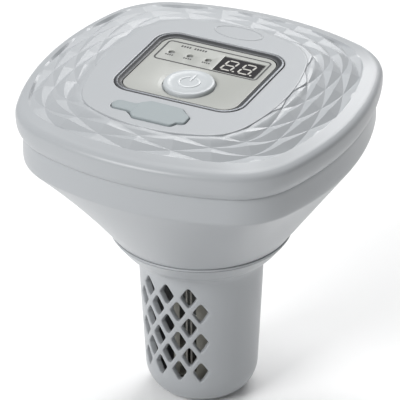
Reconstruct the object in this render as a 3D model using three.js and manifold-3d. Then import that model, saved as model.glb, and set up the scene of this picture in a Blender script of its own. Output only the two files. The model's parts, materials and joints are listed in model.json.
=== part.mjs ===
// Floating salt chlorinator: a battery-powered electrolytic cell that floats in a small pool or spa.
// Millimetres, +Z up, the control panel faces up and its lower edge faces -Y.
// The origin is the centre of the cage's flat foot, so the whole device stands on z = 0.
import * as THREE from "three";
import { mergeVertices } from "three/addons/utils/BufferGeometryUtils.js";
import Module from "manifold-3d";

const wasm = await Module();
wasm.setup();

// ---------------------------------------------------------------- driving dimensions
const GAP = 0.3; // clearance kept between neighbouring pieces
const HALF_WIDTH = 88; // lid, from the centre to its straight walls
const TOP_Z = 186.7; // flat plateau of the lid
const LID_RIM_Z = 163.4; // lower edge of the lid
const HULL_RIM_Z = LID_RIM_Z - GAP; // upper edge of the hull
const HULL_BASE_Z = 95.6; // round shoulder at the hull's lower end
const HULL_BASE_R = 47;
const FUNNEL_TOP_Z = 148.4; // where the hull's straight band turns into the funnel
const FUNNEL_TOP_W = 84.95;
const RIM_THICKNESS = 5;
const FUNNEL_WALL = 3.3; // measured horizontally
const LID_WALL = 2.6;

const SIDE_ARC = 1.84; // plan outline: radius of the bowed sides, per half width
const CORNER_ARC = 0.46; // plan outline: radius of the corners, per half width
const OUTLINE_POINTS = 72;
const COARSE_POINTS = 48;

const DOME_DROP = 8.36; // how far the ring round the plateau falls towards the lid's edge
const DOME_START = 0.58; // fraction of the half width where it starts to fall
const DOME_SPAN = 0.385;
const DOME_POWER = 1.3;
const FACET_COLUMNS = 24;
const FACET_ROWS = 6;
const FACET_EDGE_ROW = -0.2; // where the smooth border ends, outside row 0
const FACET_DEPTH = 1.1;

const PANEL = { halfX: 37, low: -34.3, high: 33.4, corner: 12, recess: 3 }; // recess for the trim ring
const PLATE = { halfX: 32.5, low: -29.8, high: 28.9, corner: 8, top: TOP_Z - 1, thickness: 1.6 };
const BUTTON = { x: 0, y: -12.8, r: 13.4, top: TOP_Z + 0.4, flangeR: 15.7, flange: 1.4, travel: 0.8 };
const DISPLAY = { x: 15.7, y: 13.95, width: 23, height: 15.3 };
const LIGHTS = { low: -23.2, good: -12.7, high: -2.1 };
const LIGHT_Y = 14.1;
const LIGHT_R = 1.5;
const FLAP = { y: -48.4, strapLeft: -25.5, strapHalf: 4, hingeX: -17.2, bodyLeft: -14, bodyRight: 14.8 };
const SOCKET_HOLE_R = 4.6;

const WALL_TOP = { r: 32.64, z: 71.4 }; // the cage's tapered wall
const WALL_LOW = { r: 29.75, z: 15.84 };
const FOOT_R = 17.4;
const CAGE_WALL = 3;
const CAGE_RIM_Z = 94.3;
const CAGE_BORE_R = 40.5;
const HOLE_COLUMNS = 7;
const HOLE_STEP_DEG = 11.25;
const HOLE_CENTRE_DEG = -8.4; // middle column, from the front towards +X
const HOLE_ROWS = 3;
const HOLE_PITCH = 18.6;
const HOLE_LOW_Z = 22.5; // lowest holes of the odd columns; even columns stand half a pitch higher
const HOLE_HALF_WIDTH = 4.5;
const HOLE_HALF_HEIGHT = 5.9;

const NECK_R = 37.4;
const NECK_BORE_R = 33.6;
const NECK_LOW_Z = 87.5;
const LUGS = 3;
const LUG_SPAN_DEG = 36;
const THREAD_LEAD = 24; // drop of the cage per turn
const NECK_LUG = { inner: 36.9, outer: 39.9, low: 88.2, height: 1.6 };
const CAGE_LUG = { inner: 38, outer: 41, low: 90.1, height: 1.5 };

const CELL_TURN_DEG = 26.3; // the plate pack's turn about Z
const PLATE_OFFSETS = [-7.9, -5.5, 5.5, 7.9];
const GUIDE_POSTS = [
  { x: -13.15, half: 1.55, y: 16.4 },
  { x: 0, half: 2.85, y: 18.4 },
  { x: 13.15, half: 1.55, y: 16.4 },
];

const BATTERY_R = 9.2;
const BATTERY_LENGTH = 65;
const BATTERY_PITCH = 18.8;
const TRAY_Z = 111.5;
const BOARD_Z = 138; // underside of the main board
const BOARD_POST = { x: 46, y: 36 };
const DISPLAY_BOARD_Z = 170.2;
const DISPLAY_POST = { x: 41, y: 30 };

// ---------------------------------------------------------------- materials
function material(color, roughness, metalness = 0) {
  return new THREE.MeshStandardMaterial({ color, roughness, metalness });
}
const HOUSING = material(0xc6cacd, 0.42);
const RUBBER = material(0xa3acaf, 0.8);
const DARK_RUBBER = material(0x2a2c2e, 0.85);
const CHROME = material(0xd0d3d6, 0.12, 1);
const FACE_PLATE = material(0xc1c3be, 0.35);
const BUTTON_WHITE = material(0xe2e6e8, 0.3);
const DISPLAY_BLACK = material(0x1e1c1e, 0.2);
const CLEAR_LIGHT = material(0xd8dadc, 0.15);
const BOARD_GREEN = material(0x1f5b3a, 0.5);
const STEEL = material(0xb9bcbf, 0.3, 1);
const TITANIUM = material(0x9a968c, 0.4, 1);
const POST_BEIGE = material(0xb5b5ac, 0.55);
const BATTERY_BLUE = material(0x2d5f9e, 0.4);
const NICKEL = material(0xc9c7c0, 0.3, 1);
const BLACK_PLASTIC = material(0x232427, 0.6);
const WIRE_RED = material(0xa5221e, 0.6);
const WIRE_BLACK = material(0x1c1c1e, 0.6);
const FERRITE = material(0x3a3836, 0.7);

// ---------------------------------------------------------------- solids
function solidOf(geometry) {
  const bare = geometry.clone();
  bare.deleteAttribute("normal");
  bare.deleteAttribute("uv");
  const merged = mergeVertices(bare, 1e-3);
  const vertProperties = new Float32Array(merged.attributes.position.array);
  const triVerts = new Uint32Array(merged.index.array);
  return new wasm.Manifold(new wasm.Mesh({ numProp: 3, vertProperties, triVerts }));
}

function geometryOf(solid) {
  const mesh = solid.getMesh();
  const geometry = new THREE.BufferGeometry();
  geometry.setAttribute("position", new THREE.BufferAttribute(mesh.vertProperties, 3));
  geometry.setIndex(new THREE.BufferAttribute(mesh.triVerts, 1));
  geometry.computeVertexNormals();
  return geometry;
}

function unite(...solids) {
  return solids.reduce((whole, next) => whole.add(next));
}

function cut(solid, ...tools) {
  return tools.reduce((rest, tool) => rest.subtract(tool), solid);
}

// A closed body through rings of equal point counts, given from the first end to the last.
function loft(rings) {
  const count = rings[0].length;
  const positions = rings.flatMap((ring) => ring.flatMap((p) => [p.x, p.y, p.z]));
  const indices = [];
  for (let k = 0; k + 1 < rings.length; k++) {
    for (let i = 0; i < count; i++) {
      const a = k * count + i;
      const b = k * count + ((i + 1) % count);
      indices.push(a, b, b + count, a, b + count, a + count);
    }
  }
  const capped = [
    [0, true],
    [rings.length - 1, false],
  ];
  for (const [k, reversed] of capped) {
    const centre = new THREE.Vector3();
    rings[k].forEach((p) => centre.addScaledVector(p, 1 / count));
    const hub = positions.length / 3;
    positions.push(centre.x, centre.y, centre.z);
    for (let i = 0; i < count; i++) {
      const a = k * count + i;
      const b = k * count + ((i + 1) % count);
      indices.push(hub, reversed ? b : a, reversed ? a : b);
    }
  }
  const geometry = new THREE.BufferGeometry();
  geometry.setAttribute("position", new THREE.Float32BufferAttribute(positions, 3));
  geometry.setIndex(indices);
  return geometry;
}

function lathe(profile, segments) {
  const points = profile.map(([r, z]) => new THREE.Vector2(r, z));
  return new THREE.LatheGeometry(points, segments).rotateX(Math.PI / 2);
}

function disc(r, low, high, x = 0, y = 0, segments = 24) {
  const geometry = new THREE.CylinderGeometry(r, r, high - low, segments).rotateX(Math.PI / 2);
  return solidOf(geometry.translate(x, y, (low + high) / 2));
}

function block(x0, x1, y0, y1, low, high) {
  const geometry = new THREE.BoxGeometry(x1 - x0, y1 - y0, high - low);
  return solidOf(geometry.translate((x0 + x1) / 2, (y0 + y1) / 2, (low + high) / 2));
}

function roundedRect(x0, x1, y0, y1, corner) {
  const shape = new THREE.Shape();
  const quarter = Math.PI / 2;
  shape.absarc(x1 - corner, y0 + corner, corner, -quarter, 0);
  shape.absarc(x1 - corner, y1 - corner, corner, 0, quarter);
  shape.absarc(x0 + corner, y1 - corner, corner, quarter, 2 * quarter);
  shape.absarc(x0 + corner, y0 + corner, corner, 2 * quarter, 3 * quarter);
  return shape;
}

function prism(shape, low, high, curveSegments = 5) {
  const options = { depth: high - low, bevelEnabled: false, curveSegments };
  return solidOf(new THREE.ExtrudeGeometry(shape, options).translate(0, 0, low));
}

function corners({ x, y }) {
  return [
    [x, y],
    [-x, y],
    [-x, -y],
    [x, -y],
  ];
}

// ---------------------------------------------------------------- the plan outline
// A square of half width 1 with bowed sides and round corners: eight arcs that meet smoothly.
function unitOutline(count) {
  const bow = SIDE_ARC - 1;
  const reach = SIDE_ARC - CORNER_ARC;
  const corner = (Math.sqrt(2 * reach * reach - bow * bow) - bow) / 2;
  const half = Math.atan2(corner, corner + bow);
  const path = new THREE.Path();
  for (let q = 0; q < 4; q++) {
    const turn = (q * Math.PI) / 2;
    const sideX = -bow * Math.cos(turn);
    const sideY = -bow * Math.sin(turn);
    const cornerX = corner * (Math.cos(turn) - Math.sin(turn));
    const cornerY = corner * (Math.sin(turn) + Math.cos(turn));
    path.absarc(sideX, sideY, SIDE_ARC, turn, turn + half);
    path.absarc(cornerX, cornerY, CORNER_ARC, turn + half, turn + Math.PI / 2 - half);
    const next = turn + Math.PI / 2;
    path.absarc(-bow * Math.cos(next), -bow * Math.sin(next), SIDE_ARC, next - half, next);
  }
  return path.getSpacedPoints(count).slice(0, count);
}

// One ring of the outline at a height; roundness 0 keeps the rounded square, 1 makes a circle.
function outlineRing(halfWidth, z, count = OUTLINE_POINTS, roundness = 0) {
  return unitOutline(count).map((p) => {
    const scale = halfWidth * (1 - roundness + roundness / p.length());
    return new THREE.Vector3(p.x * scale, p.y * scale, z);
  });
}

function outlineLoft(profile) {
  return solidOf(loft(profile.map(([w, z, roundness]) => outlineRing(w, z, COARSE_POINTS, roundness))));
}

// ---------------------------------------------------------------- lid
function domeZ(fraction) {
  const beyond = Math.max(0, fraction - DOME_START) / DOME_SPAN;
  return TOP_Z - DOME_DROP * Math.pow(beyond, DOME_POWER);
}

// One row of the ring of facets; the rows close in a little faster along X than along Y.
function facetRow(row) {
  return unitOutline(FACET_COLUMNS).map((p) => {
    const x = p.x * (79.5 - 5 * row) - 2 + 0.5 * row;
    const y = p.y * (78 - 4.67 * row);
    const fraction = Math.hypot(x, y) / (HALF_WIDTH * p.length());
    return new THREE.Vector3(x, y, domeZ(fraction));
  });
}

// The lid's outer body: skirt, rounded edge, smooth border, then the ring of low four-sided pyramids.
function lidOuter() {
  const skirt = [
    [85.4, LID_RIM_Z],
    [87.2, 166.2],
    [HALF_WIDTH, 169.5],
    [HALF_WIDTH, 174.2],
    [87.6, 176],
    [86.6, 177.4],
    [84.9, 178.4],
  ];
  const positions = [];
  const indices = [];
  const addRing = (ring) => {
    const first = positions.length / 3;
    ring.forEach((p) => positions.push(p.x, p.y, p.z));
    return first;
  };
  const join = (a, b, count) => {
    for (let i = 0; i < count; i++) {
      const j = (i + 1) % count;
      indices.push(a + i, a + j, b + j, a + i, b + j, b + i);
    }
  };
  const skirtRings = skirt.map(([w, z]) => addRing(outlineRing(w, z)));
  for (let k = 0; k + 1 < skirtRings.length; k++) join(skirtRings[k], skirtRings[k + 1], OUTLINE_POINTS);

  const borderRing = addRing(facetRow(FACET_EDGE_ROW));
  const perColumn = OUTLINE_POINTS / FACET_COLUMNS;
  const edge = skirtRings[skirtRings.length - 1];
  for (let i = 0; i < FACET_COLUMNS; i++) {
    const next = borderRing + ((i + 1) % FACET_COLUMNS);
    for (let j = 0; j < perColumn; j++) {
      const a = edge + i * perColumn + j;
      const b = edge + ((i * perColumn + j + 1) % OUTLINE_POINTS);
      indices.push(a, b, borderRing + i);
    }
    indices.push(borderRing + i, edge + (((i + 1) * perColumn) % OUTLINE_POINTS), next);
  }

  const rows = [];
  for (let row = 0; row < FACET_ROWS; row++) {
    const ring = facetRow(row);
    ring.forEach((p, column) => {
      const sunken = (row + column) % 2 === 0 && row + 1 < FACET_ROWS;
      if (sunken) p.z -= FACET_DEPTH;
    });
    rows.push(addRing(ring));
  }
  join(borderRing, rows[0], FACET_COLUMNS);
  for (let row = 0; row + 1 < FACET_ROWS; row++) {
    for (let i = 0; i < FACET_COLUMNS; i++) {
      const j = (i + 1) % FACET_COLUMNS;
      const [a, b, c, d] = [rows[row] + i, rows[row] + j, rows[row + 1] + j, rows[row + 1] + i];
      if ((row + i) % 2 === 0) indices.push(a, b, c, a, c, d); // the valley runs along the diagonal
      else indices.push(a, b, d, b, c, d);
    }
  }

  const lowHub = positions.length / 3;
  positions.push(0, 0, LID_RIM_Z, 0, 0, facetRow(FACET_ROWS - 1)[0].z);
  for (let i = 0; i < OUTLINE_POINTS; i++) {
    indices.push(lowHub, skirtRings[0] + ((i + 1) % OUTLINE_POINTS), skirtRings[0] + i);
  }
  const inner = rows[FACET_ROWS - 1];
  for (let i = 0; i < FACET_COLUMNS; i++) {
    indices.push(lowHub + 1, inner + i, inner + ((i + 1) % FACET_COLUMNS));
  }
  const geometry = new THREE.BufferGeometry();
  geometry.setAttribute("position", new THREE.Float32BufferAttribute(positions, 3));
  geometry.setIndex(indices);
  return solidOf(geometry);
}

function plateau() {
  const halfX = 52;
  const halfY = 58.7;
  const centreY = -5.8;
  const ring = (z, shrink) =>
    unitOutline(COARSE_POINTS).map(
      (p) => new THREE.Vector3(p.x * (halfX - shrink), centreY + p.y * (halfY - shrink), z),
    );
  return solidOf(loft([ring(180, 0), ring(TOP_Z - 1, 0), ring(TOP_Z, 1)]));
}

function flapOutline(grow) {
  const body = roundedRect(FLAP.bodyLeft - grow, FLAP.bodyRight + grow, -58 - grow, -38.7 + grow, 5 + grow);
  const tab = roundedRect(8, 17.6 + grow, -53 - grow, -42.4 + grow, 3 + grow);
  return [body, tab];
}

function strapOutline(x0, x1, grow) {
  const half = FLAP.strapHalf + grow;
  return roundedRect(x0 - grow, x1 + grow, FLAP.y - half, FLAP.y + half, 2.5);
}

function topCover() {
  const ceiling = PANEL.recess + LID_WALL;
  const inner = outlineLoft([
    [80.4, LID_RIM_Z - 1],
    [80.4, LID_RIM_Z + 2.5],
    [84.6, LID_RIM_Z + 6],
    [85.2, 174.2],
    [81, 177],
    [74, 178.6],
    [62, 181.5],
    [54, 183.6],
    [50, TOP_Z - LID_WALL],
  ]);
  const ledge = prism(roundedRect(-40, 40, -37.3, 36.4, 12), TOP_Z - ceiling, TOP_Z - 1);
  const socketBoss = disc(9, 177.5, TOP_Z - 1, 0, FLAP.y, 20);
  let cover = unite(cut(unite(lidOuter(), plateau()), inner), ledge, socketBoss);
  for (const [x, y] of corners(DISPLAY_POST)) {
    cover = cover.add(disc(3.5, DISPLAY_BOARD_Z + 1.9, TOP_Z - 1.6, x, y, 14));
  }
  for (const [x, y] of corners(DISPLAY_POST)) {
    cover = cut(cover, disc(1.8, DISPLAY_BOARD_Z, 180, x, y, 10));
  }
  const recess = roundedRect(-PANEL.halfX, PANEL.halfX, PANEL.low, PANEL.high, PANEL.corner);
  const opening = roundedRect(-30.5, 30.5, -29, 27, 7);
  const flapPocket = flapOutline(GAP).map((shape) => prism(shape, TOP_Z - 1.2, TOP_Z + 1));
  return cut(
    cover,
    prism(recess, TOP_Z - PANEL.recess, TOP_Z + 1),
    prism(opening, TOP_Z - 10, TOP_Z + 1),
    ...flapPocket,
    prism(strapOutline(FLAP.strapLeft, FLAP.bodyLeft, GAP), TOP_Z - 1.2, TOP_Z + 1),
    disc(SOCKET_HOLE_R, 176, TOP_Z, 0, FLAP.y),
  );
}

// ---------------------------------------------------------------- control panel
function panelFrame() {
  const side = PANEL.halfX - GAP;
  const outer = roundedRect(-side, side, PANEL.low + GAP, PANEL.high - GAP, PANEL.corner - GAP);
  const innerSide = PLATE.halfX + GAP;
  const inner = roundedRect(-innerSide, innerSide, PLATE.low - GAP, PLATE.high + GAP, PLATE.corner + GAP);
  const low = TOP_Z - PANEL.recess + GAP;
  return cut(prism(outer, low, TOP_Z + 0.3), prism(inner, low - 1, TOP_Z + 1));
}

function panelPlate() {
  const low = PLATE.top - PLATE.thickness;
  const outline = roundedRect(-PLATE.halfX, PLATE.halfX, PLATE.low, PLATE.high, PLATE.corner);
  const halfX = DISPLAY.width / 2 + GAP;
  const halfY = DISPLAY.height / 2 + GAP;
  const { x, y } = DISPLAY;
  const lightHoles = Object.values(LIGHTS).map((at) => disc(LIGHT_R + GAP, low - 1, TOP_Z, at, LIGHT_Y, 12));
  return cut(
    prism(outline, low, PLATE.top),
    block(x - halfX, x + halfX, y - halfY, y + halfY, low - 1, TOP_Z),
    disc(BUTTON.r + 0.6, low - 1, TOP_Z, BUTTON.x, BUTTON.y, 32),
    ...lightHoles,
  );
}

function powerButton() {
  const flangeTop = PLATE.top - PLATE.thickness - GAP;
  const stemLow = DISPLAY_BOARD_Z + 7;
  const profile = [
    [0, stemLow],
    [3, stemLow],
    [3, flangeTop - BUTTON.flange],
    [BUTTON.flangeR, flangeTop - BUTTON.flange],
    [BUTTON.flangeR, flangeTop],
    [BUTTON.r, flangeTop],
    [BUTTON.r, BUTTON.top - 1],
    [BUTTON.r - 1, BUTTON.top],
    [0, BUTTON.top],
  ];
  return lathe(profile, 32).translate(BUTTON.x, BUTTON.y, 0);
}

// A rubber ring on the board: it stops the button's flange at the end of its travel.
function buttonSeal() {
  const low = DISPLAY_BOARD_Z + 1.6 + GAP;
  const flangeLow = PLATE.top - PLATE.thickness - GAP - BUTTON.flange;
  const high = flangeLow - BUTTON.travel - 0.2;
  const { x, y } = BUTTON;
  return cut(disc(15.6, low, high, x, y, 28), disc(13.8, low - 1, high + 1, x, y, 28));
}

function buttonSwitch() {
  const low = DISPLAY_BOARD_Z + 1.6 + GAP;
  const { x, y } = BUTTON;
  return unite(block(x - 6, x + 6, y - 6, y + 6, low, low + 3), disc(3.4, low + 2.5, low + 4, x, y, 16));
}

function displayModule() {
  const { x, y, width, height } = DISPLAY;
  const low = DISPLAY_BOARD_Z + 1.6 + GAP;
  return block(x - width / 2, x + width / 2, y - height / 2, y + height / 2, low, PLATE.top - 0.3);
}

function lightPipe(x) {
  const low = DISPLAY_BOARD_Z + 1.6 + GAP;
  const profile = [
    [0, low],
    [LIGHT_R, low],
    [LIGHT_R, PLATE.top],
    [0.9, PLATE.top + 0.35],
    [0, PLATE.top + 0.45],
  ];
  return lathe(profile, 16).translate(x, LIGHT_Y, 0);
}

function displayBoard() {
  const outline = roundedRect(-46, 46, -36, 36, 3);
  const low = DISPLAY_BOARD_Z;
  const holes = corners(DISPLAY_POST).map(([x, y]) => disc(1.8, low - 1, low + 3, x, y, 12));
  return cut(prism(outline, low, low + 1.6, 3), ...holes);
}

// A pan-head screw whose shaft points along +Z from a head below, or along -Z from a head above.
function screw(x, y, seatZ, shaftLength, headR, shaftR, shaftUp) {
  const way = shaftUp ? 1 : -1;
  const headHeight = 0.7 * headR;
  const profile = [
    [0, -headHeight],
    [0.7 * headR, -headHeight],
    [headR, -0.5 * headHeight],
    [headR, 0],
    [shaftR, 0],
    [shaftR, shaftLength - shaftR],
    [0, shaftLength],
  ].map(([r, along]) => [r, seatZ + way * along]);
  if (!shaftUp) profile.reverse();
  return lathe(profile, 12).translate(x, y, 0);
}

// ---------------------------------------------------------------- charging flap
// A round low-voltage socket whose barrel stands in the lid's hole, with a centre pin.
function chargeSocket() {
  const barrelTop = TOP_Z - 3.9;
  const profile = [
    [0, 167],
    [6.2, 167],
    [6.2, 177.2],
    [4.2, 177.2],
    [4.2, barrelTop],
    [2.6, barrelTop],
    [2.6, 172],
    [0.9, 172],
    [0.9, 182],
    [0, 182.3],
  ];
  return lathe(profile, 20).translate(0, FLAP.y, 0);
}

const FLAP_LOW = TOP_Z - 1.2 + GAP;
const FLAP_HIGH = TOP_Z + 1.2;
const STRAP_HIGH = FLAP_HIGH - 0.4; // the flap folds about this edge of its neck

function flapAnchor() {
  return prism(strapOutline(FLAP.strapLeft, FLAP.hingeX - 0.6, 0), FLAP_LOW, STRAP_HIGH);
}

function chargeFlap() {
  const [body, tab] = flapOutline(0);
  const neckLeft = FLAP.hingeX - 0.2;
  const strap = block(neckLeft, FLAP.bodyLeft + 3, FLAP.y - 3, FLAP.y + 3, FLAP_LOW, STRAP_HIGH);
  const plug = disc(3.6, TOP_Z - 3.4, FLAP_LOW + 1, 0, FLAP.y, 20);
  return unite(prism(body, FLAP_LOW, FLAP_HIGH), prism(tab, FLAP_LOW, FLAP_HIGH - 0.3), strap, plug);
}

// ---------------------------------------------------------------- hull
function funnelWidth(z) {
  const slope = (FUNNEL_TOP_W - HULL_BASE_R) / (FUNNEL_TOP_Z - HULL_BASE_Z);
  return HULL_BASE_R + slope * (z - HULL_BASE_Z);
}

function funnelRoundness(z) {
  const down = Math.min(1, (FUNNEL_TOP_Z - z) / (FUNNEL_TOP_Z - HULL_BASE_Z));
  return 1 - Math.pow(1 - Math.max(0, down), 1.6);
}

function funnelRings(heights, inset) {
  return heights.map((z) => [funnelWidth(z) - inset, z, funnelRoundness(z)]);
}

function helicalLug({ inner, outer, low, height }, centreDeg) {
  const steps = 6;
  const rings = [];
  for (let i = 0; i <= steps; i++) {
    const along = i / steps;
    const angle = THREE.MathUtils.degToRad(centreDeg + LUG_SPAN_DEG * (along - 0.5));
    const z = low + (THREAD_LEAD * LUG_SPAN_DEG * along) / 360;
    const corner = (r, h) => new THREE.Vector3(r * Math.cos(angle), r * Math.sin(angle), z + h);
    rings.push([corner(inner, 0), corner(inner, height), corner(outer, height), corner(outer, 0)]);
  }
  return solidOf(loft(rings));
}

function addLugs(body, lug) {
  let whole = body;
  for (let i = 0; i < LUGS; i++) whole = whole.add(helicalLug(lug, (i * 360) / LUGS));
  return whole;
}

const HEAD_SCREW_R = 28.5;
const HEAD_SCREWS = [45, 135, 225, 315].map((deg) => {
  const angle = THREE.MathUtils.degToRad(deg);
  return [HEAD_SCREW_R * Math.cos(angle), HEAD_SCREW_R * Math.sin(angle)];
});
const TRAY_SCREW_YS = [-39.5, 39.5];
const FLOOR_Z = HULL_BASE_Z + 3;

function hull() {
  const funnel = [HULL_BASE_Z, 107, 120, 134, 147.4];
  const outer = outlineLoft([
    ...funnelRings(funnel, 0),
    [84.6, 149.8, 0],
    [84.9, 152.5, 0],
    [84.6, HULL_RIM_Z, 0],
  ]);
  const inside = [FLOOR_Z, 112, 128, 147];
  const inner = outlineLoft([
    ...funnelRings(inside, FUNNEL_WALL),
    [82, 151, 0],
    [82, 158, 0],
    [84.6 - RIM_THICKNESS, 160.6, 0],
    [84.6 - RIM_THICKNESS, HULL_RIM_Z + 1, 0],
  ]);
  const grooveOuter = outlineLoft([
    [83.6, HULL_RIM_Z - 2, 0],
    [83.6, HULL_RIM_Z + 1, 0],
  ]);
  const grooveInner = outlineLoft([
    [81.4, HULL_RIM_Z - 3, 0],
    [81.4, HULL_RIM_Z + 2, 0],
  ]);
  const bore = disc(NECK_BORE_R, 80, HULL_BASE_Z, 0, 0, 36);
  const neck = cut(disc(NECK_R, NECK_LOW_Z, FLOOR_Z - 1, 0, 0, 36), bore);
  let body = unite(cut(outer, inner, cut(grooveOuter, grooveInner)), neck);
  body = addLugs(body, NECK_LUG);
  for (const [x, y] of HEAD_SCREWS) body = body.add(disc(4, FLOOR_Z - 1, FLOOR_Z + 5, x, y, 14));
  for (const y of TRAY_SCREW_YS) body = body.add(disc(4, FLOOR_Z - 1, TRAY_Z - GAP, 0, y, 14));
  for (const [x, y] of corners(BOARD_POST)) body = body.add(disc(4, 117, BOARD_Z - GAP, x, y, 14));
  for (const [x, y] of HEAD_SCREWS) body = cut(body, disc(1.6, 90, FLOOR_Z + 3.5, x, y, 10));
  for (const y of TRAY_SCREW_YS) body = cut(body, disc(1.8, 103, TRAY_Z, 0, y, 10));
  for (const [x, y] of corners(BOARD_POST)) body = cut(body, disc(1.8, 128, BOARD_Z, x, y, 10));
  return cut(body, disc(24, 80, FLOOR_Z + 1, 0, 0, 36));
}

function lidGasket() {
  const outer = outlineLoft([
    [83.3, HULL_RIM_Z - 1.7, 0],
    [83.3, HULL_RIM_Z, 0],
  ]);
  const inner = outlineLoft([
    [81.7, HULL_RIM_Z - 3, 0],
    [81.7, HULL_RIM_Z + 1, 0],
  ]);
  return cut(outer, inner);
}

// ---------------------------------------------------------------- battery and main board
function batteryTray() {
  const floor = prism(roundedRect(-39.4, 39.4, -35.6, 35.6, 4), TRAY_Z, TRAY_Z + 7, 3);
  const hollow = prism(roundedRect(-37.9, 37.9, -34, 34, 2.5), TRAY_Z + 2.2, TRAY_Z + 9, 3);
  let tray = cut(floor, hollow);
  for (const way of [-1, 1]) {
    const y0 = Math.min(way * 34.5, way * 43.5);
    const y1 = Math.max(way * 34.5, way * 43.5);
    tray = tray.add(prism(roundedRect(-5, 5, y0, y1, 2), TRAY_Z, TRAY_Z + 2.2, 3));
  }
  for (const y of TRAY_SCREW_YS) {
    tray = cut(tray, disc(1.9, TRAY_Z - 1, TRAY_Z + 4, 0, y, 12));
  }
  return tray;
}

const BATTERY_Z = TRAY_Z + 2.5 + BATTERY_R;

function batteryCell(x) {
  const profile = [
    [0, -BATTERY_LENGTH / 2],
    [BATTERY_R - 0.5, -BATTERY_LENGTH / 2],
    [BATTERY_R, -BATTERY_LENGTH / 2 + 0.5],
    [BATTERY_R, BATTERY_LENGTH / 2 - 3],
    [BATTERY_R - 0.8, BATTERY_LENGTH / 2 - 2],
    [BATTERY_R, BATTERY_LENGTH / 2 - 1],
    [BATTERY_R - 0.6, BATTERY_LENGTH / 2 - 0.3],
    [3.4, BATTERY_LENGTH / 2 - 0.3],
    [3.4, BATTERY_LENGTH / 2],
    [0, BATTERY_LENGTH / 2],
  ];
  return lathe(profile, 18).rotateX(-Math.PI / 2).translate(x, 0, BATTERY_Z);
}

function batteryTab(y0, y1) {
  return block(-32, 32, y0, y1, BATTERY_Z - 3.5, BATTERY_Z + 3.5);
}

function batteryStrap() {
  const high = BATTERY_Z + BATTERY_R + GAP;
  return unite(
    block(-41.3, 41.3, -7, 7, high, high + 1.4),
    block(-41.3, -39.8, -7, 7, TRAY_Z + 1, high + 1),
    block(39.8, 41.3, -7, 7, TRAY_Z + 1, high + 1),
  );
}

function mainBoard() {
  const holes = corners(BOARD_POST).map(([x, y]) => disc(1.8, BOARD_Z - 1, BOARD_Z + 3, x, y, 12));
  return cut(prism(roundedRect(-52, 52, -42, 42, 3), BOARD_Z, BOARD_Z + 1.6, 3), ...holes);
}

const PART_Z = BOARD_Z + 1.6 + GAP; // components stand here

function inductor() {
  const profile = [
    [0, PART_Z],
    [8, PART_Z],
    [8, PART_Z + 1.5],
    [6.4, PART_Z + 2.2],
    [6.4, PART_Z + 7.8],
    [8, PART_Z + 8.5],
    [8, PART_Z + 10],
    [0, PART_Z + 10],
  ];
  return lathe(profile, 24).translate(-26, 14, 0);
}

function capacitor() {
  const profile = [
    [0, PART_Z],
    [5, PART_Z],
    [5, PART_Z + 1.2],
    [4.6, PART_Z + 1.6],
    [5, PART_Z + 2],
    [5, PART_Z + 13.4],
    [4.4, PART_Z + 14],
    [0, PART_Z + 14],
  ];
  return lathe(profile, 20).translate(22, 18, 0);
}

// ---------------------------------------------------------------- wiring
// A tube or strap of the given cross-section along a smooth route.
function along(route, section, steps) {
  const curve = new THREE.CatmullRomCurve3(route.map(([x, y, z]) => new THREE.Vector3(x, y, z)));
  return new THREE.ExtrudeGeometry(section, { steps, extrudePath: curve, bevelEnabled: false });
}

function roundSection(r, sides) {
  const points = [];
  for (let i = 0; i < sides; i++) {
    const angle = (2 * Math.PI * i) / sides;
    points.push(new THREE.Vector2(r * Math.cos(angle), r * Math.sin(angle)));
  }
  return new THREE.Shape(points);
}

function electrodeWire(way) {
  const route = [
    [way * 8.4, way * 3.6, 107.5],
    [way * 22, way * 7, 107],
    [way * 36, way * 4, 107.4],
    [way * 44.6, 0, 112],
    [way * 46, 0, 120],
    [way * 46, 0, 130],
    [way * 46, 0, BOARD_Z - GAP],
  ];
  return along(route, roundSection(1.1, 6), 26);
}

function ribbonCable() {
  const section = new THREE.Shape([
    new THREE.Vector2(-5, -0.4),
    new THREE.Vector2(5, -0.4),
    new THREE.Vector2(5, 0.4),
    new THREE.Vector2(-5, 0.4),
  ]);
  const route = [
    [0, -34, PART_Z + 6.6],
    [0, -34, PART_Z + 11],
    [0, -28, PART_Z + 18],
    [0, -22, DISPLAY_BOARD_Z - 5],
    [0, -22, DISPLAY_BOARD_Z - 0.8],
  ];
  return along(route, section, 14);
}

// ---------------------------------------------------------------- electrode cell
const HEAD_LOW_Z = 84;
const FLANGE_LOW_Z = 90.3;
const FLANGE_TOP_Z = HULL_BASE_Z - GAP;
const PACK_LOW_Z = 16;
const HALF_PLATE = 19;

// The plug that closes the neck; in the plate pack's own turned frame.
function electrodeHead() {
  const flange = disc(33, FLANGE_LOW_Z, FLANGE_TOP_Z, 0, 0, 36);
  const profile = [
    [0, FLANGE_TOP_Z - 1],
    [23.5, FLANGE_TOP_Z - 1],
    [23.5, 96.3],
    [21.6, 96.3],
    [21.6, 98.7],
    [23.5, 98.7],
    [23.5, 103],
    [0, 103],
  ];
  const boss = solidOf(lathe(profile, 36));
  const holder = prism(roundedRect(-16, 16, -21, 21, 4), HEAD_LOW_Z, FLANGE_LOW_Z + 1);
  let head = unite(flange, boss, holder);
  for (const x of PLATE_OFFSETS) head = cut(head, block(x - 0.75, x + 0.75, -19.5, 19.5, 80, 88.6));
  for (const x of [-6.7, 6.7]) head = cut(head, disc(2.3, 88, 110, x, 0, 14));
  const turn = THREE.MathUtils.degToRad(-CELL_TURN_DEG);
  for (const [x, y] of HEAD_SCREWS) {
    const localX = x * Math.cos(turn) - y * Math.sin(turn);
    const localY = x * Math.sin(turn) + y * Math.cos(turn);
    head = cut(head, disc(1.6, 80, 110, localX, localY, 12), disc(3.2, 80, 92.6, localX, localY, 16));
  }
  return head;
}

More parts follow.
